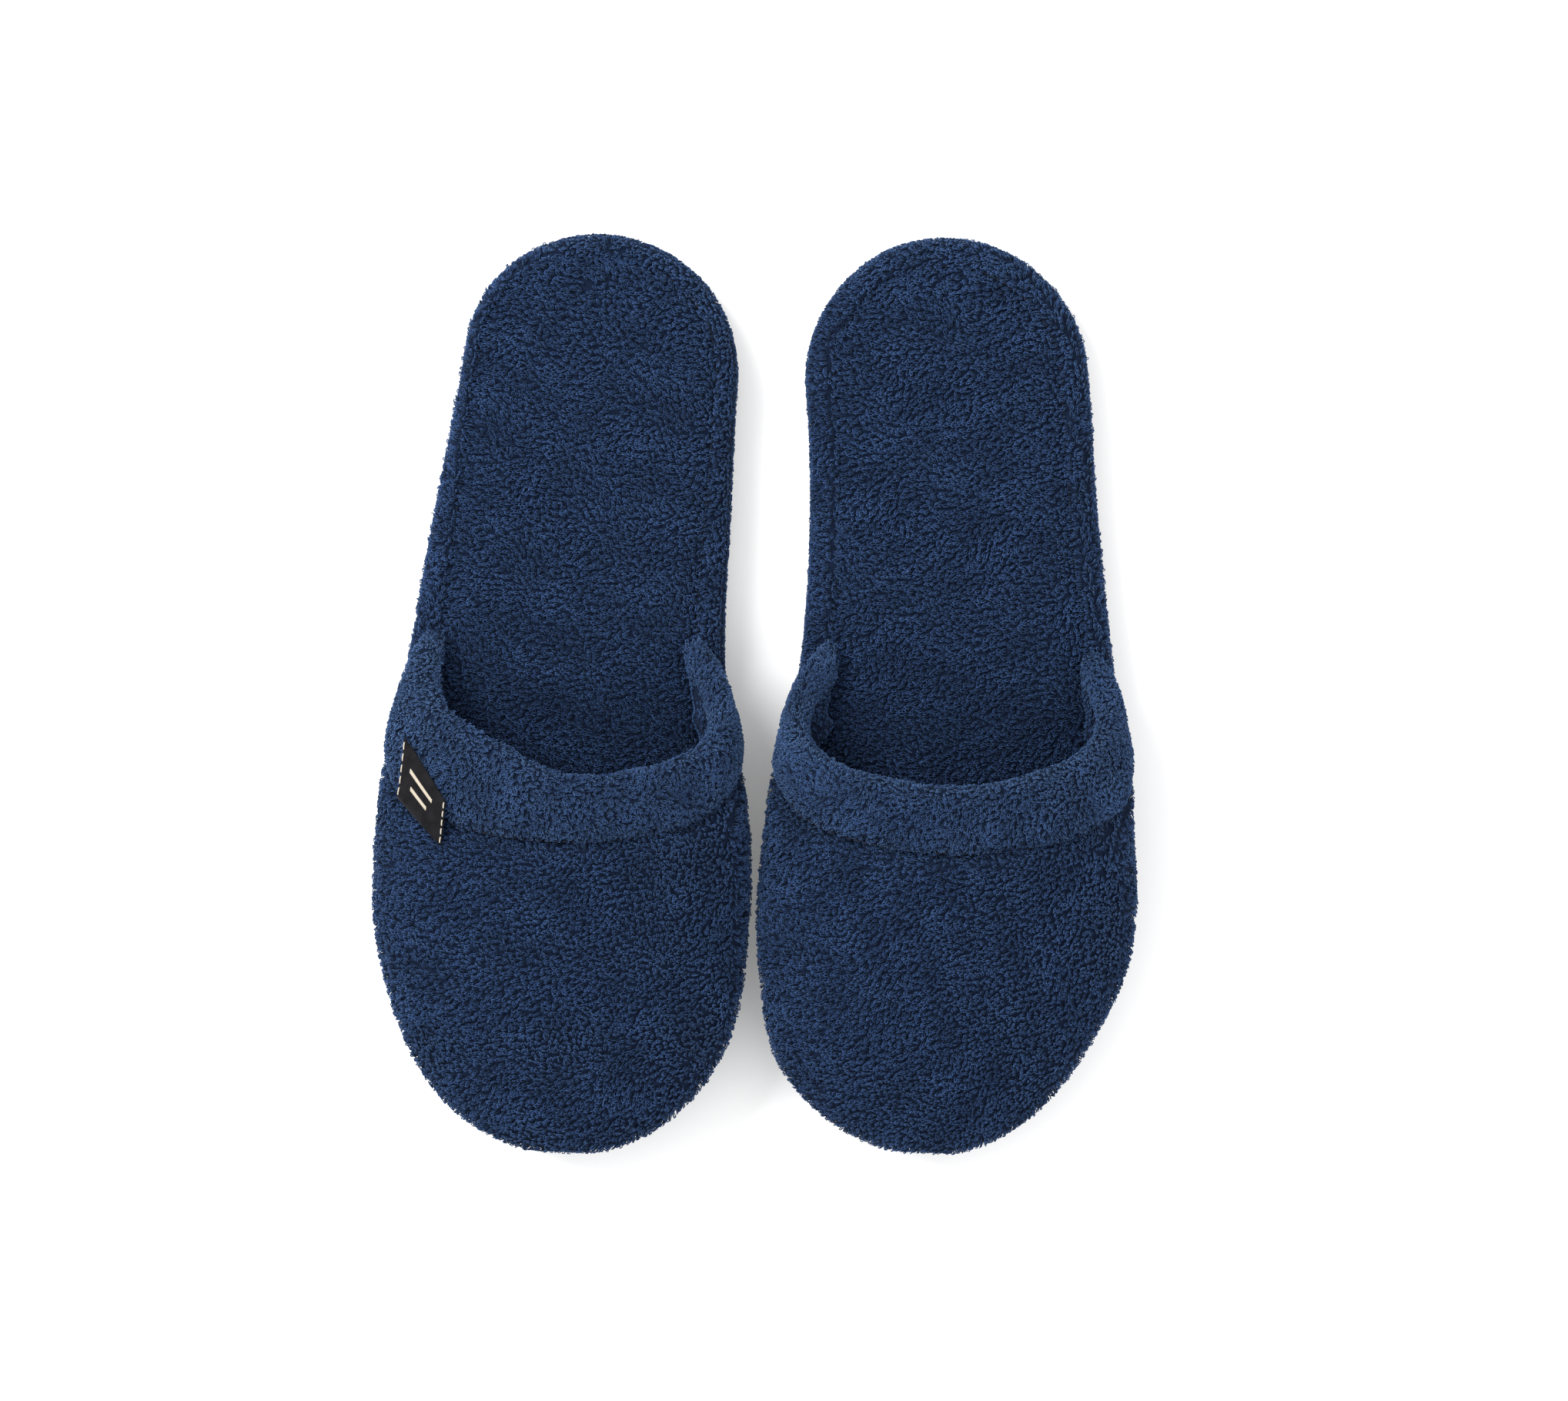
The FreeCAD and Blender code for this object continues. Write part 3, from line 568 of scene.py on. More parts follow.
def pile_material(name, sheen):
    """Twisted cotton yarn, with painted shade at the root of each loop and a painted highlight at its tip;
    each loop in its own tint of navy, which in places carries painted shade and painted light, with a fine
    twist.
    """
    material, tree, shader = new_material(name, 0.85, sheen, (0.35, 0.6, 1.0))
    uv = add_node(tree, "ShaderNodeUVMap", uv_map="OFBake")
    split = tree.nodes.new("ShaderNodeSeparateXYZ")
    tree.links.new(uv.outputs["UV"], split.inputs["Vector"])
    # Painted shade at the loop's root, rising to a painted highlight at its tip.
    painted_shade_and_highlight = ramp_of(
        tree, split.outputs["X"],
        (0.0, (0.0036, 0.0078, 0.0225)), (0.45, (0.0078, 0.0175, 0.0500)), (1.0, (0.0215, 0.0480, 0.1300)),
    )
    shade = ramp_of(
        tree, split.outputs["Y"],
        (0.0, (0.56, 0.58, 0.62)), (0.5, (1.0, 1.0, 1.0)), (1.0, (1.6, 1.55, 1.46)),
    )
    mix = add_node(tree, "ShaderNodeMix", data_type="RGBA", blend_type="MULTIPLY")
    mix.inputs["Factor"].default_value = 1.0
    tree.links.new(painted_shade_and_highlight, mix.inputs["A"])
    tree.links.new(shade, mix.inputs["B"])
    tree.links.new(mix.outputs["Result"], shader.inputs["Base Color"])
    bump_from(tree, shader, noise(5200.0)(tree), 0.35, 0.1 * MM)
    return material


def plain_material(name, roughness, colouring, dark, light, strength, depth, relief=None, sheen=(0.0,)):
    """Colours a material by one texture between two stops, and bumps it by the same or another."""
    material, tree, shader = new_material(name, roughness, *sheen)
    pattern = colouring(tree)
    tree.links.new(ramp_of(tree, pattern, dark, light), shader.inputs["Base Color"])
    bump_from(tree, shader, relief(tree) if relief else pattern, strength, depth * MM)
    return material


MATERIALS = {
    "pile": pile_material("navy_terry_pile", 0.25),
    "fuzzy_pile": pile_material("navy_fuzzy_pile", 0.4),
    # The woven ground under the pile, dark between the loops: painted shade in the gaps.
    "ground": plain_material(
        "navy_terry_ground", 0.95, noise(900.0, 3.0), (0.3, (0.0030, 0.0062, 0.0165)),
        (0.75, (0.0075, 0.0160, 0.0420)), 0.6, 0.4, sheen=(0.05, (0.4, 0.6, 1.0)),
    ),
    # Brushed navy tricot with a fine knit.
    "lining": plain_material(
        "navy_lining", 0.95, cells(1100.0), (0.1, (0.009, 0.017, 0.042)),
        (0.8, (0.004, 0.008, 0.020)), 0.5, 0.3, sheen=(0.05, (0.55, 0.7, 1.0)),
    ),
    # Dark grey moulded sheet with a fine pebble and dusty high spots.
    "rubber": plain_material(
        "outsole_rubber", 0.62, noise(60.0, 4.0), (0.3, (0.018, 0.020, 0.026)),
        (0.8, (0.040, 0.043, 0.050)), 0.5, 0.3, relief=cells(850.0),
    ),
    # Open-cell foams: small dark cells in a pale body.
    "midsole": plain_material(
        "midsole_foam", 0.95, cells(500.0), (0.05, (0.10, 0.10, 0.11)), (0.5, (0.24, 0.24, 0.26)), 0.6, 0.5
    ),
    "cushion": plain_material(
        "cushion_foam", 0.95, cells(700.0), (0.05, (0.45, 0.42, 0.36)), (0.5, (0.72, 0.69, 0.60)), 0.6, 0.5
    ),
    "navy_thread": plain_material(
        "navy_thread", 0.6, ply(2200.0), (0.1, (0.003, 0.006, 0.016)),
        (0.8, (0.010, 0.020, 0.050)), 0.4, 0.1, sheen=(0.2,),
    ),
    # Black damask satin: a fine weft rib with faint uneven wear.
    "label": plain_material(
        "label_satin", 0.8, noise(260.0, 3.0), (0.3, (0.0035, 0.0035, 0.0045)),
        (0.75, (0.010, 0.010, 0.012)), 0.35, 0.2, relief=noise(3800.0), sheen=(0.02, (0.8, 0.85, 1.0)),
    ),
    "cream_thread": plain_material(
        "cream_thread", 0.6, ply(2600.0), (0.1, (0.36, 0.31, 0.24)),
        (0.8, (0.62, 0.56, 0.46)), 0.4, 0.1, sheen=(0.2,),
    ),
}

# -------- Sole --------


def slab_grids(side, inset, low, high, crown=0.0, edge=0.0):
    """Two grids for a sole layer between heights, crowned on top and eased down at its edge."""
    line = outline_at(inset, side)
    places = sole_places(line, 2.2 * MM)
    inner, outer = sides_at(line, places)
    share = np.linspace(0, 1, 44)
    eased = 0.5 - 0.5 * np.cos(math.pi * share)
    across = 0.6 * share + 0.4 * eased
    x = inner[:, None] + (outer - inner)[:, None] * across
    y = np.repeat(places[:, None], len(share), axis=1)
    flat = np.stack([x, y], 2).reshape(-1, 2)
    distance = edge_distance(flat, line).reshape(x.shape)
    top = high + crown * (1 - np.exp(-distance / (9 * MM))) - edge * np.exp(-distance / (1.4 * MM))
    bottom = np.full(x.shape, low)
    return np.stack([x, y, top], 2), np.stack([x, y, bottom], 2)


def edge_distance(points, line):
    """How far each point is from a closed line."""
    out = np.empty(len(points))
    for start in range(0, len(points), 2000):
        part = points[start : start + 2000]
        out[start : start + 2000] = np.sqrt(((part[:, None] - line[None]) ** 2).sum(2).min(1))
    return out


GROOVE_DEPTH = 1.0 * MM
GROOVE_WIDTH = 3 * MM
GROOVE_PITCH = 12 * MM
GROOVE_HALF_LENGTH = 29 * MM
GROOVE_COUNT = 19
GROOVE_WALL = 0.08 * MM
FIRST_GROOVE = -108 * MM
GROOVES_X = SOLE_X - 5.7 * MM


def make_outsole(side):
    """Moulded sheet with anti-slip grooves across its underside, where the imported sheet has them."""
    line = outline_at(OUTSOLE_INSET, side)
    steps = []
    for number in range(GROOVE_COUNT):
        near = FIRST_GROOVE + number * GROOVE_PITCH
        steps += [near, near + GROOVE_WALL, near + GROOVE_WIDTH - GROOVE_WALL, near + GROOVE_WIDTH]
    places = np.unique(np.concatenate([sole_places(line, 3.2 * MM), steps]))
    inner, outer = sides_at(line, places)
    left = np.clip(GROOVES_X - GROOVE_HALF_LENGTH, inner, outer)
    right = np.clip(GROOVES_X + GROOVE_HALF_LENGTH, inner, outer)
    border = np.linspace(0, 1, 6)
    across = np.concatenate([[0.002], np.linspace(0.04, 0.96, 8), [0.998]])
    spans = ((inner, left, border), (left, right, across), (right, outer, border))
    x = np.concatenate([low[:, None] + (high - low)[:, None] * share for low, high, share in spans], axis=1)
    y = np.repeat(places[:, None], x.shape[1], axis=1)
    phase = (places - FIRST_GROOVE) % GROOVE_PITCH
    row_in = (phase > GROOVE_WALL / 2) & (phase < GROOVE_WIDTH - GROOVE_WALL / 2)
    row_in &= places > FIRST_GROOVE
    row_in &= places < FIRST_GROOVE + (GROOVE_COUNT - 1) * GROOVE_PITCH + GROOVE_WIDTH
    low = np.zeros(x.shape)
    low[row_in, len(border) : -len(border)] = GROOVE_DEPTH
    top = np.full(x.shape, FLOOR_SHEET_Z - 0.02 * MM)
    grids = np.stack([x, y, top], 2), np.stack([x, y, low], 2)
    piece = shell_piece("outsole", side, "rubber", *grids)
    piece.data.shade_flat()
    attach(piece, side, True, "outsole")


def make_foam(side):
    """Midsole board and soft cushion, hidden inside the terry."""
    for name, inset, fill in (("midsole", 0.6 * MM, 1.0), ("cushion", 8.2 * MM, 0.7)):
        low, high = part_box("left_%s_front" % name)
        bottom, top = low.z + 0.05 * MM, high.z - 0.05 * MM
        grids = slab_grids(side, FOAM_INSET + inset, bottom, top, 0.0, 0.6 * MM)
        piece = shell_piece(name, side, name, *grids)
        attach(piece, side, True, name)


FOOTBED_CROWN = 1.0 * MM


def make_footbed(side, seed):
    """Terry insole, slightly crowned over its cushion, with rows of loops that lie sideways."""
    inset = seam_insets(side) + 0.3 * MM
    top, bottom = slab_grids(side, inset, footbed_low.z, SEAM_Z - GROUND_DEPTH, FOOTBED_CROWN, 1.1 * MM)
    bottom[..., 2] = top[..., 2] - CLOTH_THICKNESS
    piece = shell_piece("footbed", side, "ground", top, bottom)
    attach(piece, side, True, "footbed")
    random = np.random.default_rng(seed)
    normals = grid_normals(top)
    normals *= np.sign(normals[..., 2:3])
    roots, up, _ = scatter(top, normals, 1.36 * MM, 1.12 * MM, random)
    # Under the vamp, where nobody looks, the rows are thinned.
    deep = roots[:, 1] < -62 * MM
    keep = ~deep | (random.random(len(roots)) < 0.12)
    roots, up = roots[keep], up[keep]
    flow = flow_over(up, SIDES[side] * np.array([-1.0, -0.22, 0.0]))
    # The opening's edge has pressed the pile below it lower, and the same loops are darkened with painted
    # shade, where the vamp shades the footbed.
    pressed_and_shaded = hump(roots[:, 1], -14 * MM, 26 * MM)
    looks = {"stature": 1.0 - 0.15 * pressed_and_shaded, "shade": -0.34 * pressed_and_shaded}
    pile = grow("footbed_pile", (roots, up), flow, LONG_PILE, side, seed, True, **looks)


def wrapper_profile(inset):
    """The wrapper's outer face as (distance inside the outline, height), from its tuck to the seam."""
    bottom, top = FLOOR_SHEET_Z, SEAM_Z
    return [
        (10.0 * MM, bottom + 0.1 * MM),
        (6.0 * MM, bottom + 0.1 * MM),
        (3.0 * MM, bottom + 0.15 * MM),
        (1.7 * MM, bottom + 0.7 * MM),
        (1.2 * MM, bottom + 2.2 * MM),
        (1.0 * MM, bottom + 4.6 * MM),
        (0.95 * MM, bottom + 7.0 * MM),
        (1.05 * MM, bottom + 9.2 * MM),
        (1.5 * MM, top - 4.0 * MM),
        (min(2.3 * MM, inset * 0.42), top - 2.6 * MM),
        (min(3.6 * MM, inset * 0.58), top - 1.6 * MM),
        (inset * 0.76, top - 1.05 * MM),
        (inset * 0.90, top - 1.15 * MM),
        (inset - 0.35 * MM, top - 1.7 * MM),
        (inset - 0.05 * MM, top - 2.8 * MM),
    ]


def make_wrapper(side, seed):
    """Terry strip turned over the sole's edge: a low pile on its side and long loops on its cap."""
    rows = []
    for point, normal, inset in zip(outline_of(side), OUTLINE_NORMALS, seam_insets(side)):
        profile = np.array(wrapper_profile(inset))
        rows.append(np.concatenate([point - normal * profile[:, :1], profile[:, 1:]], axis=1))
    face = np.array(rows)
    normals = grid_normals(face, closed_rows=True)
    if (normals[:, face.shape[1] // 2, :2] * OUTLINE_NORMALS).sum() < 0:
        normals = -normals
    back = face - normals * CLOTH_THICKNESS
    section = np.concatenate([face, back[:, ::-1]], axis=1)
    piece = ring_piece("wrapper", side, "ground", section)
    attach(piece, side, True, "wrapper")
    random = np.random.default_rng(seed)
    grids = face, normals
    closed, closed_normals = (np.concatenate([grid, grid[:1]]).transpose(1, 0, 2) for grid in grids)
    # The profile's places 2 to 8 are the sole's side, and 8 to 13 its cap.
    roots, up, along = scatter(closed[2:9], closed_normals[2:9], 1.45 * MM, 1.25 * MM, random)
    flow = flow_over(up, np.array([0.0, 0.0, -0.55]) + along)
    pile = grow("wrapper_side_pile", (roots, up), flow, LOW_PILE, side, seed + 10, True)
    roots, up, along = scatter(closed[8:14], closed_normals[8:14], 1.25 * MM, 1.15 * MM, random)
    outer = smooth_step(up[:, 0] + 0.3 * soft_noise(roots, seed, 25 * MM), 0.0, 0.4)[:, None]
    outwards = up * [1, 1, 0]
    heading = np.array([-SIDES[side], -0.2, 0.0])
    flow = flow_over(up, heading * (1 - outer) + (outwards + 0.5 * along) * 1.4 * outer)
    # Beside and under the vamp only half of the loops are needed.
    shown = (roots[:, 1] > -12 * MM) | (random.random(len(roots)) < 0.5)
    fringe = shown & (outer[:, 0] > 0.5)
    cap = shown & ~fringe
    stature = 0.35 + 0.65 * np.clip(up[cap, 2], 0, 1)
    # Towards the heel the cap's loops are lightened with painted light on the heel's rim.
    looks = {"stature": stature, "shade": 0.16 * smooth_step(roots[cap, 1], 70 * MM, 125 * MM)}
    places = roots[cap], up[cap]
    pile += grow("wrapper_cap_pile", places, flow[cap], LONG_PILE, side, seed + 20, True, **looks)
    places = roots[fringe], up[fringe]
    pile += grow("wrapper_fringe", places, flow[fringe], FRINGE_PILE, side, seed + 25, True)


def tube_along(path, radius, sides, wobble=None):
    """Rings of points round a path."""
    ahead = unit(np.gradient(path, axis=0))
    first = unit(np.cross(ahead, np.array([0.13, 0.21, 1.0])))
    second = np.cross(first, ahead)
    around = turns(sides)
    size = radius if wobble is None else radius * wobble[:, None, None]
    ring = first[:, None] * np.cos(around)[:, None] + second[:, None] * np.sin(around)[:, None]
    return path[:, None] + ring * size


def make_feather_seam(side):
    """The lasting stitch at the bottom of the groove: one thread that dips at every stitch."""
    line = outline_at(seam_insets(side) + 0.15 * MM, side)
    fine = 5
    along = np.arange(len(line) * fine) / fine
    closed = np.vstack([line, line[:1]])
    x, y = (np.interp(along, np.arange(len(closed)), closed[:, k]) for k in range(2))
    beat = along * 2 * math.pi * 0.72
    z = SEAM_Z - 2.4 * MM + 0.3 * MM * np.abs(np.sin(beat / 2))
    path = np.stack([x, y, z], 1)
    swell = 0.8 + 0.35 * np.abs(np.sin(beat / 2))
    grid = tube_along(path, 0.28 * MM, 6, swell)
    piece = ring_piece("feather_seam", side, "navy_thread", grid)
    attach(piece, side, True, "feather_seam")


# -------- Vamp and collar --------

THROAT_LEAN = math.radians(135)
VAMP_START = 4 * MM
VAMP_ROWS = 76
VAMP_COLUMNS = 150
LIFT = 0.35 * MM
HEM_DEPTH = 2.3 * MM


# How far the edge of the opening has sagged in over the foot at its outer corner.
WING_SAG = {"left": 4.5 * MM, "right": 15 * MM}
SAG_DIRECTION = np.array([-0.9, 0.35, -0.08])


def settled(points, side):
    """Points of the left slipper, moved as its outer wing has sagged inwards along the opening."""
    x, z = points[..., 0], points[..., 2]
    corner = hump(x, MIDDLE_X + 37 * MM, 26 * MM)
    raised = smooth_step(z, SEAM_Z + 1.5 * MM, SEAM_Z + 24 * MM)
    near = hump(np.maximum(throat_distance(points), 0), 0, 12 * MM)
    sag = WING_SAG[side] * corner * raised * near
    return points + sag[..., None] * SAG_DIRECTION


def throat_distance(points):
    """How far ahead of the throat's leaning plane a point lies, measured along Y."""
    return (WING_Y - points[..., 1]) - (points[..., 2] - SEAM_Z)


def arch(tree, centre, lean, around):
    """Points of a slice through the vamp, seen from a centre at the height of its seam."""
    centre = np.array(centre)
    up = np.array([0, math.cos(lean), math.sin(lean)])
    directions = np.cos(around)[:, None] * np.array([1.0, 0, 0]) + np.sin(around)[:, None] * up
    reaches = filled([outer_reach(tree, centre, direction) for direction in directions])
    return centre + directions * reaches[:, None]


def measure_vamp():
    """The vamp's face as slices that fan out from a line across its wings, from throat to toe."""
    tree = node_tree("left_vamp_terry")
    centre = MIDDLE_X, WING_Y - VAMP_START, SEAM_Z + LIFT
    around = np.linspace(math.radians(1.5), math.radians(178.5), VAMP_COLUMNS)
    leans = np.linspace(THROAT_LEAN, math.radians(179.85), VAMP_ROWS)
    grid = np.array([arch(tree, centre, lean, around) for lean in leans])
    return grid, outward_normals(grid)


def measure_band():
    """The band's outer face as slices parallel to the throat."""
    tree = node_tree("left_collar_band")
    around = np.linspace(0, math.pi, VAMP_COLUMNS)
    places = np.linspace(0.7 * MM, BAND_WIDTH - 0.5 * MM, 18)
    rows = [arch(tree, (MIDDLE_X, WING_Y - y, SEAM_Z + LIFT), THROAT_LEAN, around) for y in places]
    grid = np.array(rows)
    return places, grid, outward_normals(grid)


VAMP_GRID, VAMP_NORMALS = measure_vamp()
BAND_PLACES, BAND_GRID, BAND_NORMALS = measure_band()


def vamp_face(side, depth, seed):
    """The vamp's face at a depth, with the valley of the collar seam and gentle lumps of padding."""
    place = throat_distance(VAMP_GRID)
    flat = VAMP_GRID[..., :2].reshape(-1, 2)
    lumps = soft_noise(flat, seed, 42 * MM).reshape(place.shape)
    uneven = 1.0 + 0.35 * soft_noise(flat, seed + 5, 30 * MM).reshape(place.shape)
    toward = (VAMP_GRID[..., 0] - MIDDLE_X) / (40 * MM) * (-1 if side == "left" else 1)
    uneven *= 0.95 + 0.5 * np.tanh(toward)
    valley = hump(place, BAND_WIDTH + 1.5 * MM, 2.4 * MM) * uneven
    swell = hump(place, BAND_WIDTH + 9 * MM, 6 * MM)
    edge = smooth_step(VAMP_GRID[..., 2], SEAM_Z, SEAM_Z + 4 * MM)
    shift = -depth - 2.7 * MM * valley + (0.45 * MM * swell + 0.35 * MM * lumps) * edge
    face = VAMP_GRID + VAMP_NORMALS * shift[..., None]
    face[:, [0, -1], 2] = SEAM_Z - HEM_DEPTH
    face[-1, :, 2] = SEAM_Z - HEM_DEPTH
    return settled(face, side)


def make_vamp(side, seed):
    """Terry upper over its padding and lining. Terry loops also cover the lining near the opening."""
    face = vamp_face(side, GROUND_DEPTH, seed)
    normals = outward_normals(face)
    back = face - normals * CLOTH_THICKNESS
    piece = shell_piece("vamp_cloth", side, "ground", face, back)
    attach(piece, side, False, "vamp_terry")
    # The foam stops short of both wing tips and of the toe seam.
    grids = [vamp_face(side, depth, seed)[:-2, 3:-3] for depth in PADDING_DEPTHS]
    foam = shell_piece("vamp_foam", side, "cushion", *grids)
    attach(foam, side, False, "vamp_padding")
    outside, inside = (vamp_face(side, depth, seed) for depth in LINING_DEPTHS)
    lining = shell_piece("vamp_inner_cloth", side, "lining", outside, inside)
    attach(lining, side, False, "vamp_lining")
    random = np.random.default_rng(seed)
    roots, up, along = scatter(inside, -outward_normals(inside), 1.5 * MM, 1.3 * MM, random)
    place = throat_distance(roots)
    near = (place > 1 * MM) & (place < 32 * MM) & (np.abs(roots[:, 0] - MIDDLE_X) > 26 * MM)
    flow = flow_over(up[near], along[near])
    pile = grow("lining_pile", (roots[near], up[near]), flow, LOW_PILE, side, seed + 50, False)
    roots, up, along = scatter(face, normals, 1.3 * MM, 1.08 * MM, random)
    place = throat_distance(roots)
    keep = place > BAND_WIDTH + 2.1 * MM
    roots, up = roots[keep], up[keep]
    flow = vamp_flow(up, side)
    shadow = -0.45 * hump(place[keep], BAND_WIDTH + 2 * MM, 3 * MM)
    pile = grow("vamp_pile", (roots, up), flow, VAMP_PILE, side, seed + 30, False, shade=shadow)


def vamp_flow(up, side):
    """Loops lie sideways over the top, and hang down both flanks."""
    heading = SIDES[side] * np.array([-1.0, -0.18, 0.0])
    steep = smooth_step(np.abs(up[:, 0]) + np.clip(-up[:, 1] - 0.55, 0, 1) * 0.5, 0.55, 0.9)[:, None]
    down = np.array([0.0, -0.35, -1.0])
    return flow_over(up, heading * (1 - steep) + down * steep)


BAND_SECTION = [
    # place behind the band's lower edge (share of its width), height over the terry in mm
    (1.00, -0.5), (0.955, 0.55), (0.88, 1.25), (0.74, 1.75), (0.55, 1.95), (0.36, 1.95),
    (0.20, 1.7), (0.09, 1.15), (0.02, 0.2), (-0.025, -1.3), (-0.03, -2.9), (0.0, -4.6),
    (0.06, -6.0), (0.16, -7.0), (0.30, -7.4), (0.48, -7.5),
]
CREST_ROW = 4


def band_point(place, height):
    """Points of every column at a place across the band and a height over the vamp's terry."""
    inside = np.clip(place, BAND_PLACES[0], BAND_PLACES[-1])
    at = np.interp(inside, BAND_PLACES, np.arange(len(BAND_PLACES)))
    low = min(int(at), len(BAND_PLACES) - 2)
    share = at - low
    points = BAND_GRID[low] * (1 - share) + BAND_GRID[low + 1] * share
    normals = unit(BAND_NORMALS[low] * (1 - share) + BAND_NORMALS[low + 1] * share)
    step = (BAND_GRID[1] - BAND_GRID[0]) / (BAND_PLACES[1] - BAND_PLACES[0])
    return points + step * (place - inside) + normals * (height - BAND_RISE)


def make_collar(side, seed):
    """Folded hem with a full, rolled edge, and a short tangled pile."""
    rows = [band_point(place * BAND_WIDTH, height * MM) for place, height in BAND_SECTION]
    face = settled(np.array(rows), side)
    lumps = soft_noise(face[..., :2].reshape(-1, 2), seed, 17 * MM).reshape(face.shape[:2])
    face += outward_normals(face, CREST_ROW) * (0.4 * MM * lumps - (GROUND_DEPTH - 0.5 * MM))[..., None]
    normals = outward_normals(face, CREST_ROW)
    back = face - normals * CLOTH_THICKNESS
    piece = shell_piece("collar_cloth", side, "ground", face, back)
    attach(piece, side, False, "collar_band")
    random = np.random.default_rng(seed)
    roots, up, along = scatter(face, normals, 1.02 * MM, 0.94 * MM, random)
    if side == "right":
        keep = ~under_label(roots)
        roots, up, along = roots[keep], up[keep], along[keep]
    shadow = -0.4 * smooth_step(throat_distance(roots), BAND_WIDTH - 3 * MM, BAND_WIDTH)
    flow = flow_over(up, along + 0.8 * np.cross(up, along))
    looks = {"shade": shadow, "material": "fuzzy_pile"}
    pile = grow("collar_pile", (roots, up), flow, COLLAR_PILE, side, seed + 40, False, **looks)


def make_collar_seam(side):
    """A row of lock stitches along the valley under the band."""
    valley = settled(band_point(BAND_WIDTH + 0.7 * MM, -2.6 * MM), side)
    along = lengths_along(valley)
    pitch, gap = 2.8 * MM, 0.5 * MM
    grids = []
    for number in range(int(along[-1] / pitch)):
        ends = np.linspace(number * pitch + gap, (number + 1) * pitch - gap / 2, 7)
        path = np.stack([np.interp(ends, along, valley[:, k]) for k in range(3)], 1)
        path[:, 2] += 0.25 * MM * np.sin(np.linspace(0, math.pi, 7))
        taper = 0.45 + 0.55 * np.sin(np.linspace(0.15, math.pi - 0.15, 7)) ** 0.6
        grids.append(tube_along(path, 0.3 * MM, 6, taper))
    piece = threads_piece("collar_stitches", side, "navy_thread", grids)
    attach(piece, side, False, "collar_seam")


def threads_piece(name, side, material, grids):
    """Many short closed threads as one mesh. Each end is drawn to a point and closed."""
    points, faces, uvs = [], [], []
    first = 0
    for number, grid in enumerate(grids):
        ends = [np.repeat(grid[k].mean(0)[None, None], grid.shape[1], axis=1) for k in (0, -1)]
        grid = np.concatenate([ends[0], grid, ends[1]])
        bottom = 0.02 + 0.96 * number / len(grids)
        area = (0.02, bottom, 0.98, bottom + 0.9 * 0.96 / len(grids))
        quads, corners = grid_quads(grid.shape[0], grid.shape[1], False, True, area)
        points.append(grid.reshape(-1, 3))
        faces.append(quads + first)
        uvs.append(corners)
        first += grid.shape[0] * grid.shape[1]
    return new_piece(name, side, material, np.vstack(points), np.vstack(faces), np.vstack(uvs))


# -------- Label --------
# Only the right slipper has one. It is worked out on the left one, and mirrored like the rest.


def label_corners():
    """Back, inner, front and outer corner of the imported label, seen from above."""
    points = np.array([v.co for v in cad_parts["right_label"].data.vertices], float)
    points[:, 0] *= -1
    back, inner = points[points[:, 1].argmax()], points[points[:, 0].argmin()]
    front, outer = points[points[:, 1].argmin()], points[points[:, 0].argmax()]
    return [corner[:2] for corner in (back, inner, front, outer)]


LABEL_BACK, LABEL_INNER, LABEL_FRONT, LABEL_OUTER = label_corners()
LABEL_THICKNESS = 0.45 * MM
LABEL_SAG = 3.2 * MM
LABEL_RISE = 1.35 * MM


def label_place(u, v):
    """A point seen from above: u runs along the label from its back end, v across it."""
    inner_side = LABEL_BACK * (1 - u) + LABEL_INNER * u
    outer_side = LABEL_OUTER * (1 - u) + LABEL_FRONT * u
    return inner_side * (1 - v) + outer_side * v


def under_label(roots):
    """Which places lie under the label, apart from a rim whose loops lap over its edge."""
    roots = roots + np.array([LABEL_SAG, 0, 0])
    corners = [label_place(u, v) for u, v in ((0.03, 0.06), (0.955, 0.06), (0.955, 0.94), (0.03, 0.94))]
    inside = np.ones(len(roots), bool)
    for first, second in zip(corners, corners[1:] + corners[:1]):
        edge = second - first
        inside &= edge[0] * (roots[:, 1] - first[1]) - edge[1] * (roots[:, 0] - first[0]) < 0
    return inside & (roots[:, 2] > SEAM_Z + 12 * MM)


def label_bed(side):
    """The band and the vamp below it, as the label lies over both."""
    points, faces = [], []
    band = settled(np.array([band_point(p * BAND_WIDTH, BAND_RISE) for p in np.linspace(0, 1, 16)]), side)
    vamp = settled(VAMP_GRID, side)
    for grid in (band, vamp):
        quads = grid_quads(grid.shape[0], grid.shape[1], False, False, (0, 0, 1, 1))[0]
        faces += (quads + len(points)).tolist()
        points += [Vector(point) for point in grid.reshape(-1, 3)]
    return BVHTree.FromPolygons(points, faces)


def label_face(side, us, vs):
    """The label's lower face. It bridges the seam of the band, and its back corner curls up."""
    bed = label_bed(side)
    face = np.zeros((len(us), len(vs), 3))
    for i, u in enumerate(us):
        for j, v in enumerate(vs):
            x, y = label_place(u, v)
            place = bed.ray_cast(Vector((x - LABEL_SAG, y, 0.2)), Vector((0, 0, -1)))[0]
            face[i, j] = place
    for _ in range(60):
        middle = (face[:-2, :, 2] + face[2:, :, 2]) / 2
        face[1:-1, :, 2] = np.maximum(face[1:-1, :, 2], middle)
        middle = (face[:, :-2, 2] + face[:, 2:, 2]) / 2
        face[:, 1:-1, 2] = np.maximum(face[:, 1:-1, 2], middle)
    corner = np.clip((0.2 - us) / 0.2, 0, 1)[:, None] * ((1 - vs) ** 2)[None]
    edge = np.clip((vs - 0.8) / 0.2, 0, 1)[None]
    normals = unit(outward_normals(face).mean(axis=(0, 1)))
    return face + normals * (LABEL_RISE + 1.2 * MM * corner + 0.4 * MM * edge)[..., None]


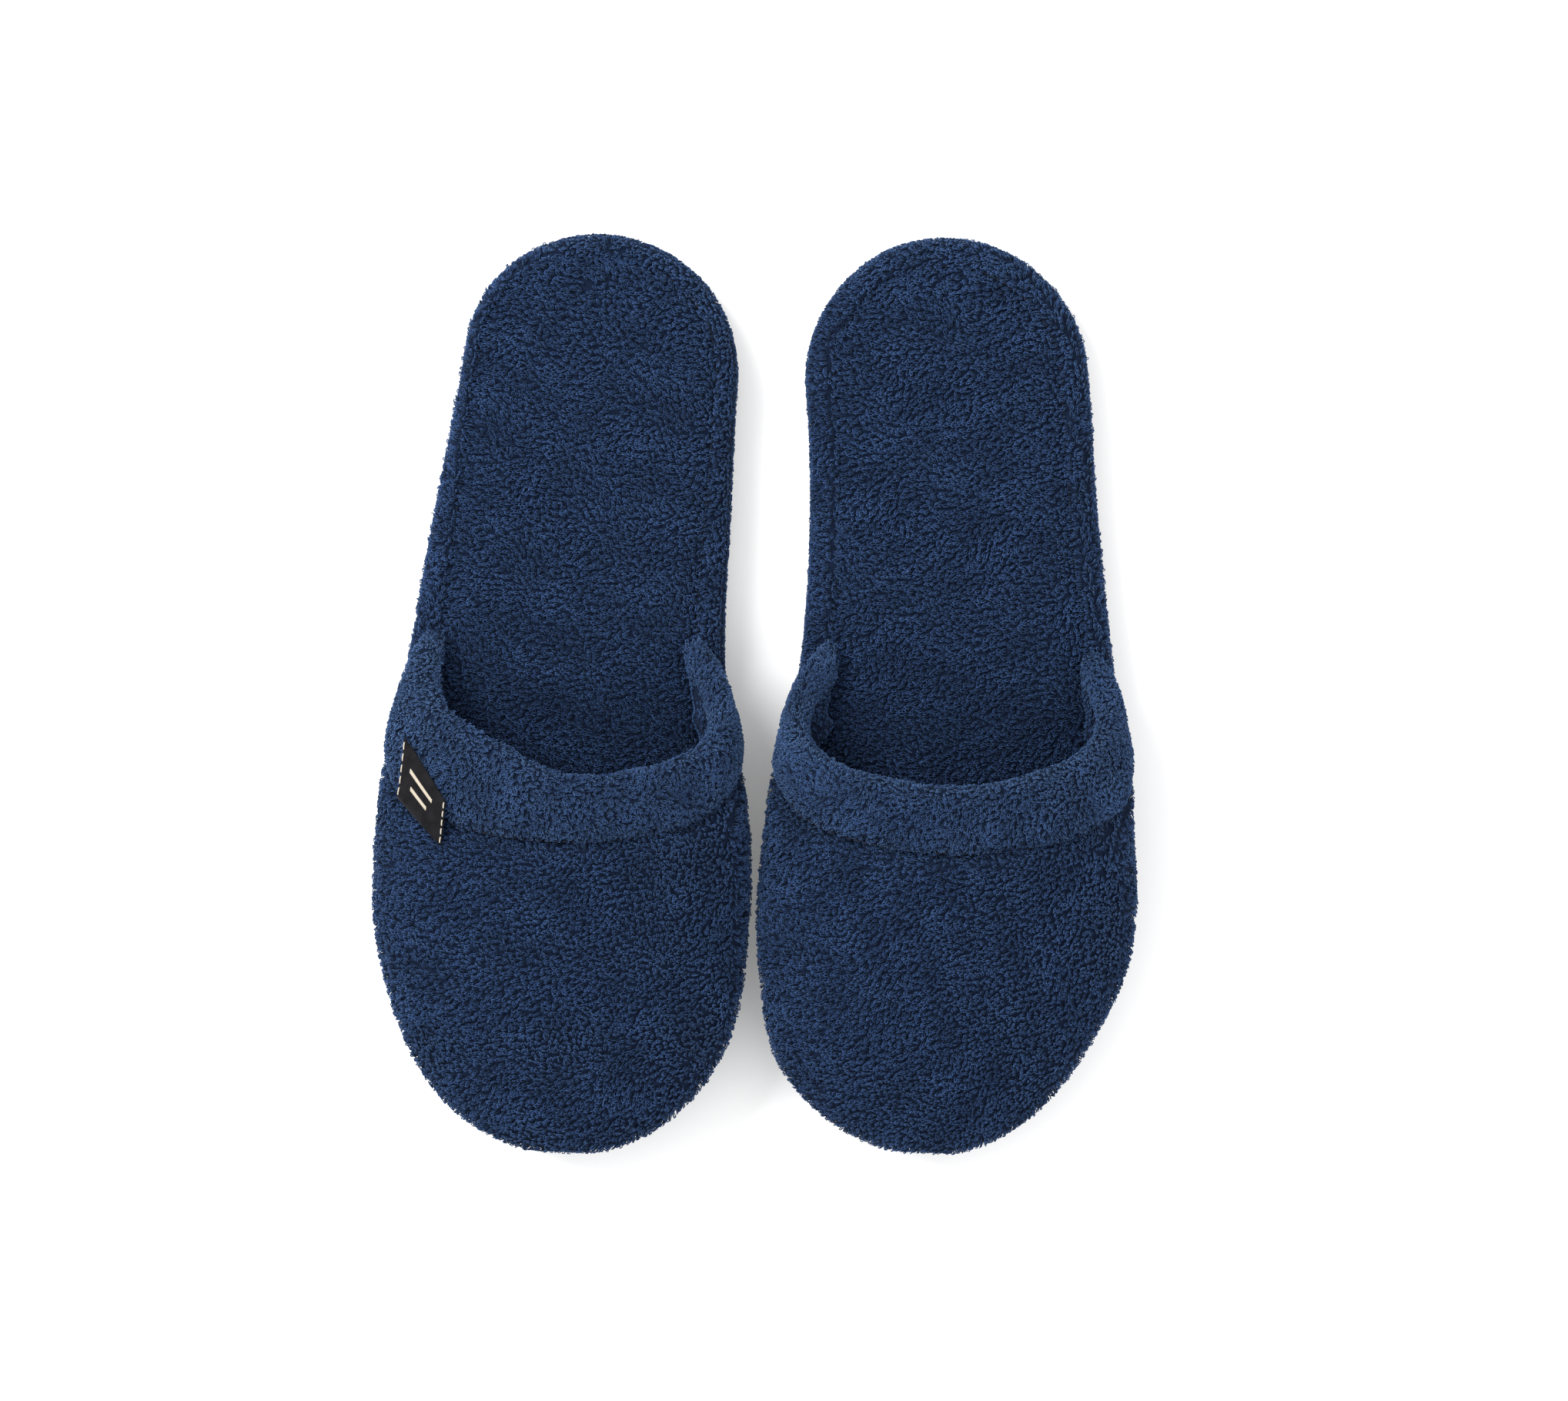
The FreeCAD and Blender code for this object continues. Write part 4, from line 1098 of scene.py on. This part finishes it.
def make_label(side):
    """Generic woven label: plain black satin with a raised selvedge, and two plain woven bars."""
    us, vs = np.linspace(0, 1, 34), np.linspace(0, 1, 22)
    face = label_face(side, us, vs)
    bulge = 0.35 * MM * np.sin(math.pi * us)[:, None] * np.sin(math.pi * vs)[None]
    selvedge = 0.12 * MM * (np.abs(vs - 0.5) > 0.46)
    normals = np.broadcast_to(unit(outward_normals(face).mean(axis=(0, 1))), face.shape)
    low = face + normals * bulge[..., None]
    top = low + normals * (LABEL_THICKNESS + selvedge)[None, :, None]
    piece = shell_piece("woven_label", side, "label", top, low)
    attach(piece, side, False, "label")
    make_label_threads(side, top, normals)


def make_label_threads(side, top, normals):
    """Cream stitches over both ends of the label, and its woven bars of close short threads."""
    rows, columns = top.shape[:2]

    def on_label(u, v, rise):
        i, j = u * (rows - 1), v * (columns - 1)
        a, b = min(int(i), rows - 2), min(int(j), columns - 2)
        s, t = i - a, j - b
        near = top[a, b] * (1 - s) + top[a + 1, b] * s
        far = top[a, b + 1] * (1 - s) + top[a + 1, b + 1] * s
        return near * (1 - t) + far * t + normals[a, b] * rise

    grids = []
    for end in (0.012, 0.985):
        for number in range(5):
            across = 0.12 + 0.19 * number + np.linspace(-0.062, 0.062, 6)
            rise = 0.12 * MM + 0.16 * MM * np.sin(np.linspace(0, math.pi, 6))
            path = np.array([on_label(end, v, height) for v, height in zip(across, rise)])
            grids.append(tube_along(path, 0.2 * MM, 6))
    for across, start, end in ((0.36, 0.20, 0.72), (0.62, 0.26, 0.62)):
        for u in np.linspace(start, end, int((end - start) * 64)):
            path = np.array([on_label(u, across + step, 0.1 * MM) for step in np.linspace(-0.038, 0.038, 4)])
            grids.append(tube_along(path, 0.17 * MM, 5))
    piece = threads_piece("label_threads", side, "cream_thread", grids)
    attach(piece, side, False, "label_stitches")


# -------- Floor, light and camera --------


def make_stage():
    """A plain near-white floor under large soft lights."""
    size = 6.0
    mesh = bpy.data.meshes.new("floor")
    corners = [(-size, -size, 0), (size, -size, 0), (size, size, 0), (-size, size, 0)]
    mesh.from_pydata(corners, [], [(0, 1, 2, 3)])
    material, tree, shader = new_material("pale_floor", 0.9)
    colour = ramp_of(tree, noise(3.0)(tree), (0.3, (0.90,) * 3), (0.7, (0.92,) * 3))
    tree.links.new(colour, shader.inputs["Base Color"])
    shader.inputs["Emission Color"].default_value = (1, 1, 1, 1)
    shader.inputs["Emission Strength"].default_value = 0.12
    mesh.materials.append(material)
    placed("floor", mesh)


def add_light(name, place, aim, size, power):
    data = bpy.data.lights.new(name, "AREA")
    data.shape = "RECTANGLE"
    data.size, data.size_y = size
    data.energy = power
    light = placed(name, data)
    light.location = place
    light.rotation_euler = (Vector(aim) - Vector(place)).to_track_quat("-Z", "Y").to_euler()


def make_lights():
    world = bpy.data.worlds.new("studio")
    world.use_nodes = True
    background = world.node_tree.nodes["Background"]
    background.inputs["Color"].default_value = (1, 1, 1, 1)
    background.inputs["Strength"].default_value = 1.18
    bpy.context.scene.world = world
    add_light("key_light", (-1.3, 0.9, 1.5), (0, 0, 0), (1.2, 1.2), 50.0)
    add_light("fill_light", (1.4, -1.0, 1.6), (0, 0, 0), (1.6, 1.6), 12.0)


CAMERA_HEIGHT = 3.0
VIEW_WIDTH = 0.4900
VIEW_CENTRE = (0.0074, -0.0022)
CAMERA_ROLL = math.radians(1.73)
SENSOR = 36.0


def make_camera():
    """Looks straight down on the pair, turned a little, from far enough to flatten perspective."""
    middle_height = 0.03
    data = bpy.data.cameras.new("camera")
    data.sensor_width = SENSOR
    data.lens = SENSOR * (CAMERA_HEIGHT - middle_height) / VIEW_WIDTH
    camera = placed("camera", data)
    camera.location = (*VIEW_CENTRE, CAMERA_HEIGHT)
    camera.rotation_euler = (0, 0, CAMERA_ROLL)
    bpy.context.scene.camera = camera


bpy.context.scene.view_settings.view_transform = "Standard"
make_stage()
make_lights()
make_camera()
for number, side in enumerate(SIDES):
    seed = 100 + 1000 * number
    make_outsole(side)
    make_foam(side)
    make_footbed(side, seed + 1)
    make_wrapper(side, seed + 2)
    make_feather_seam(side)
    make_vamp(side, seed + 3)
    make_collar(side, seed + 4)
    make_collar_seam(side)
make_label("right")
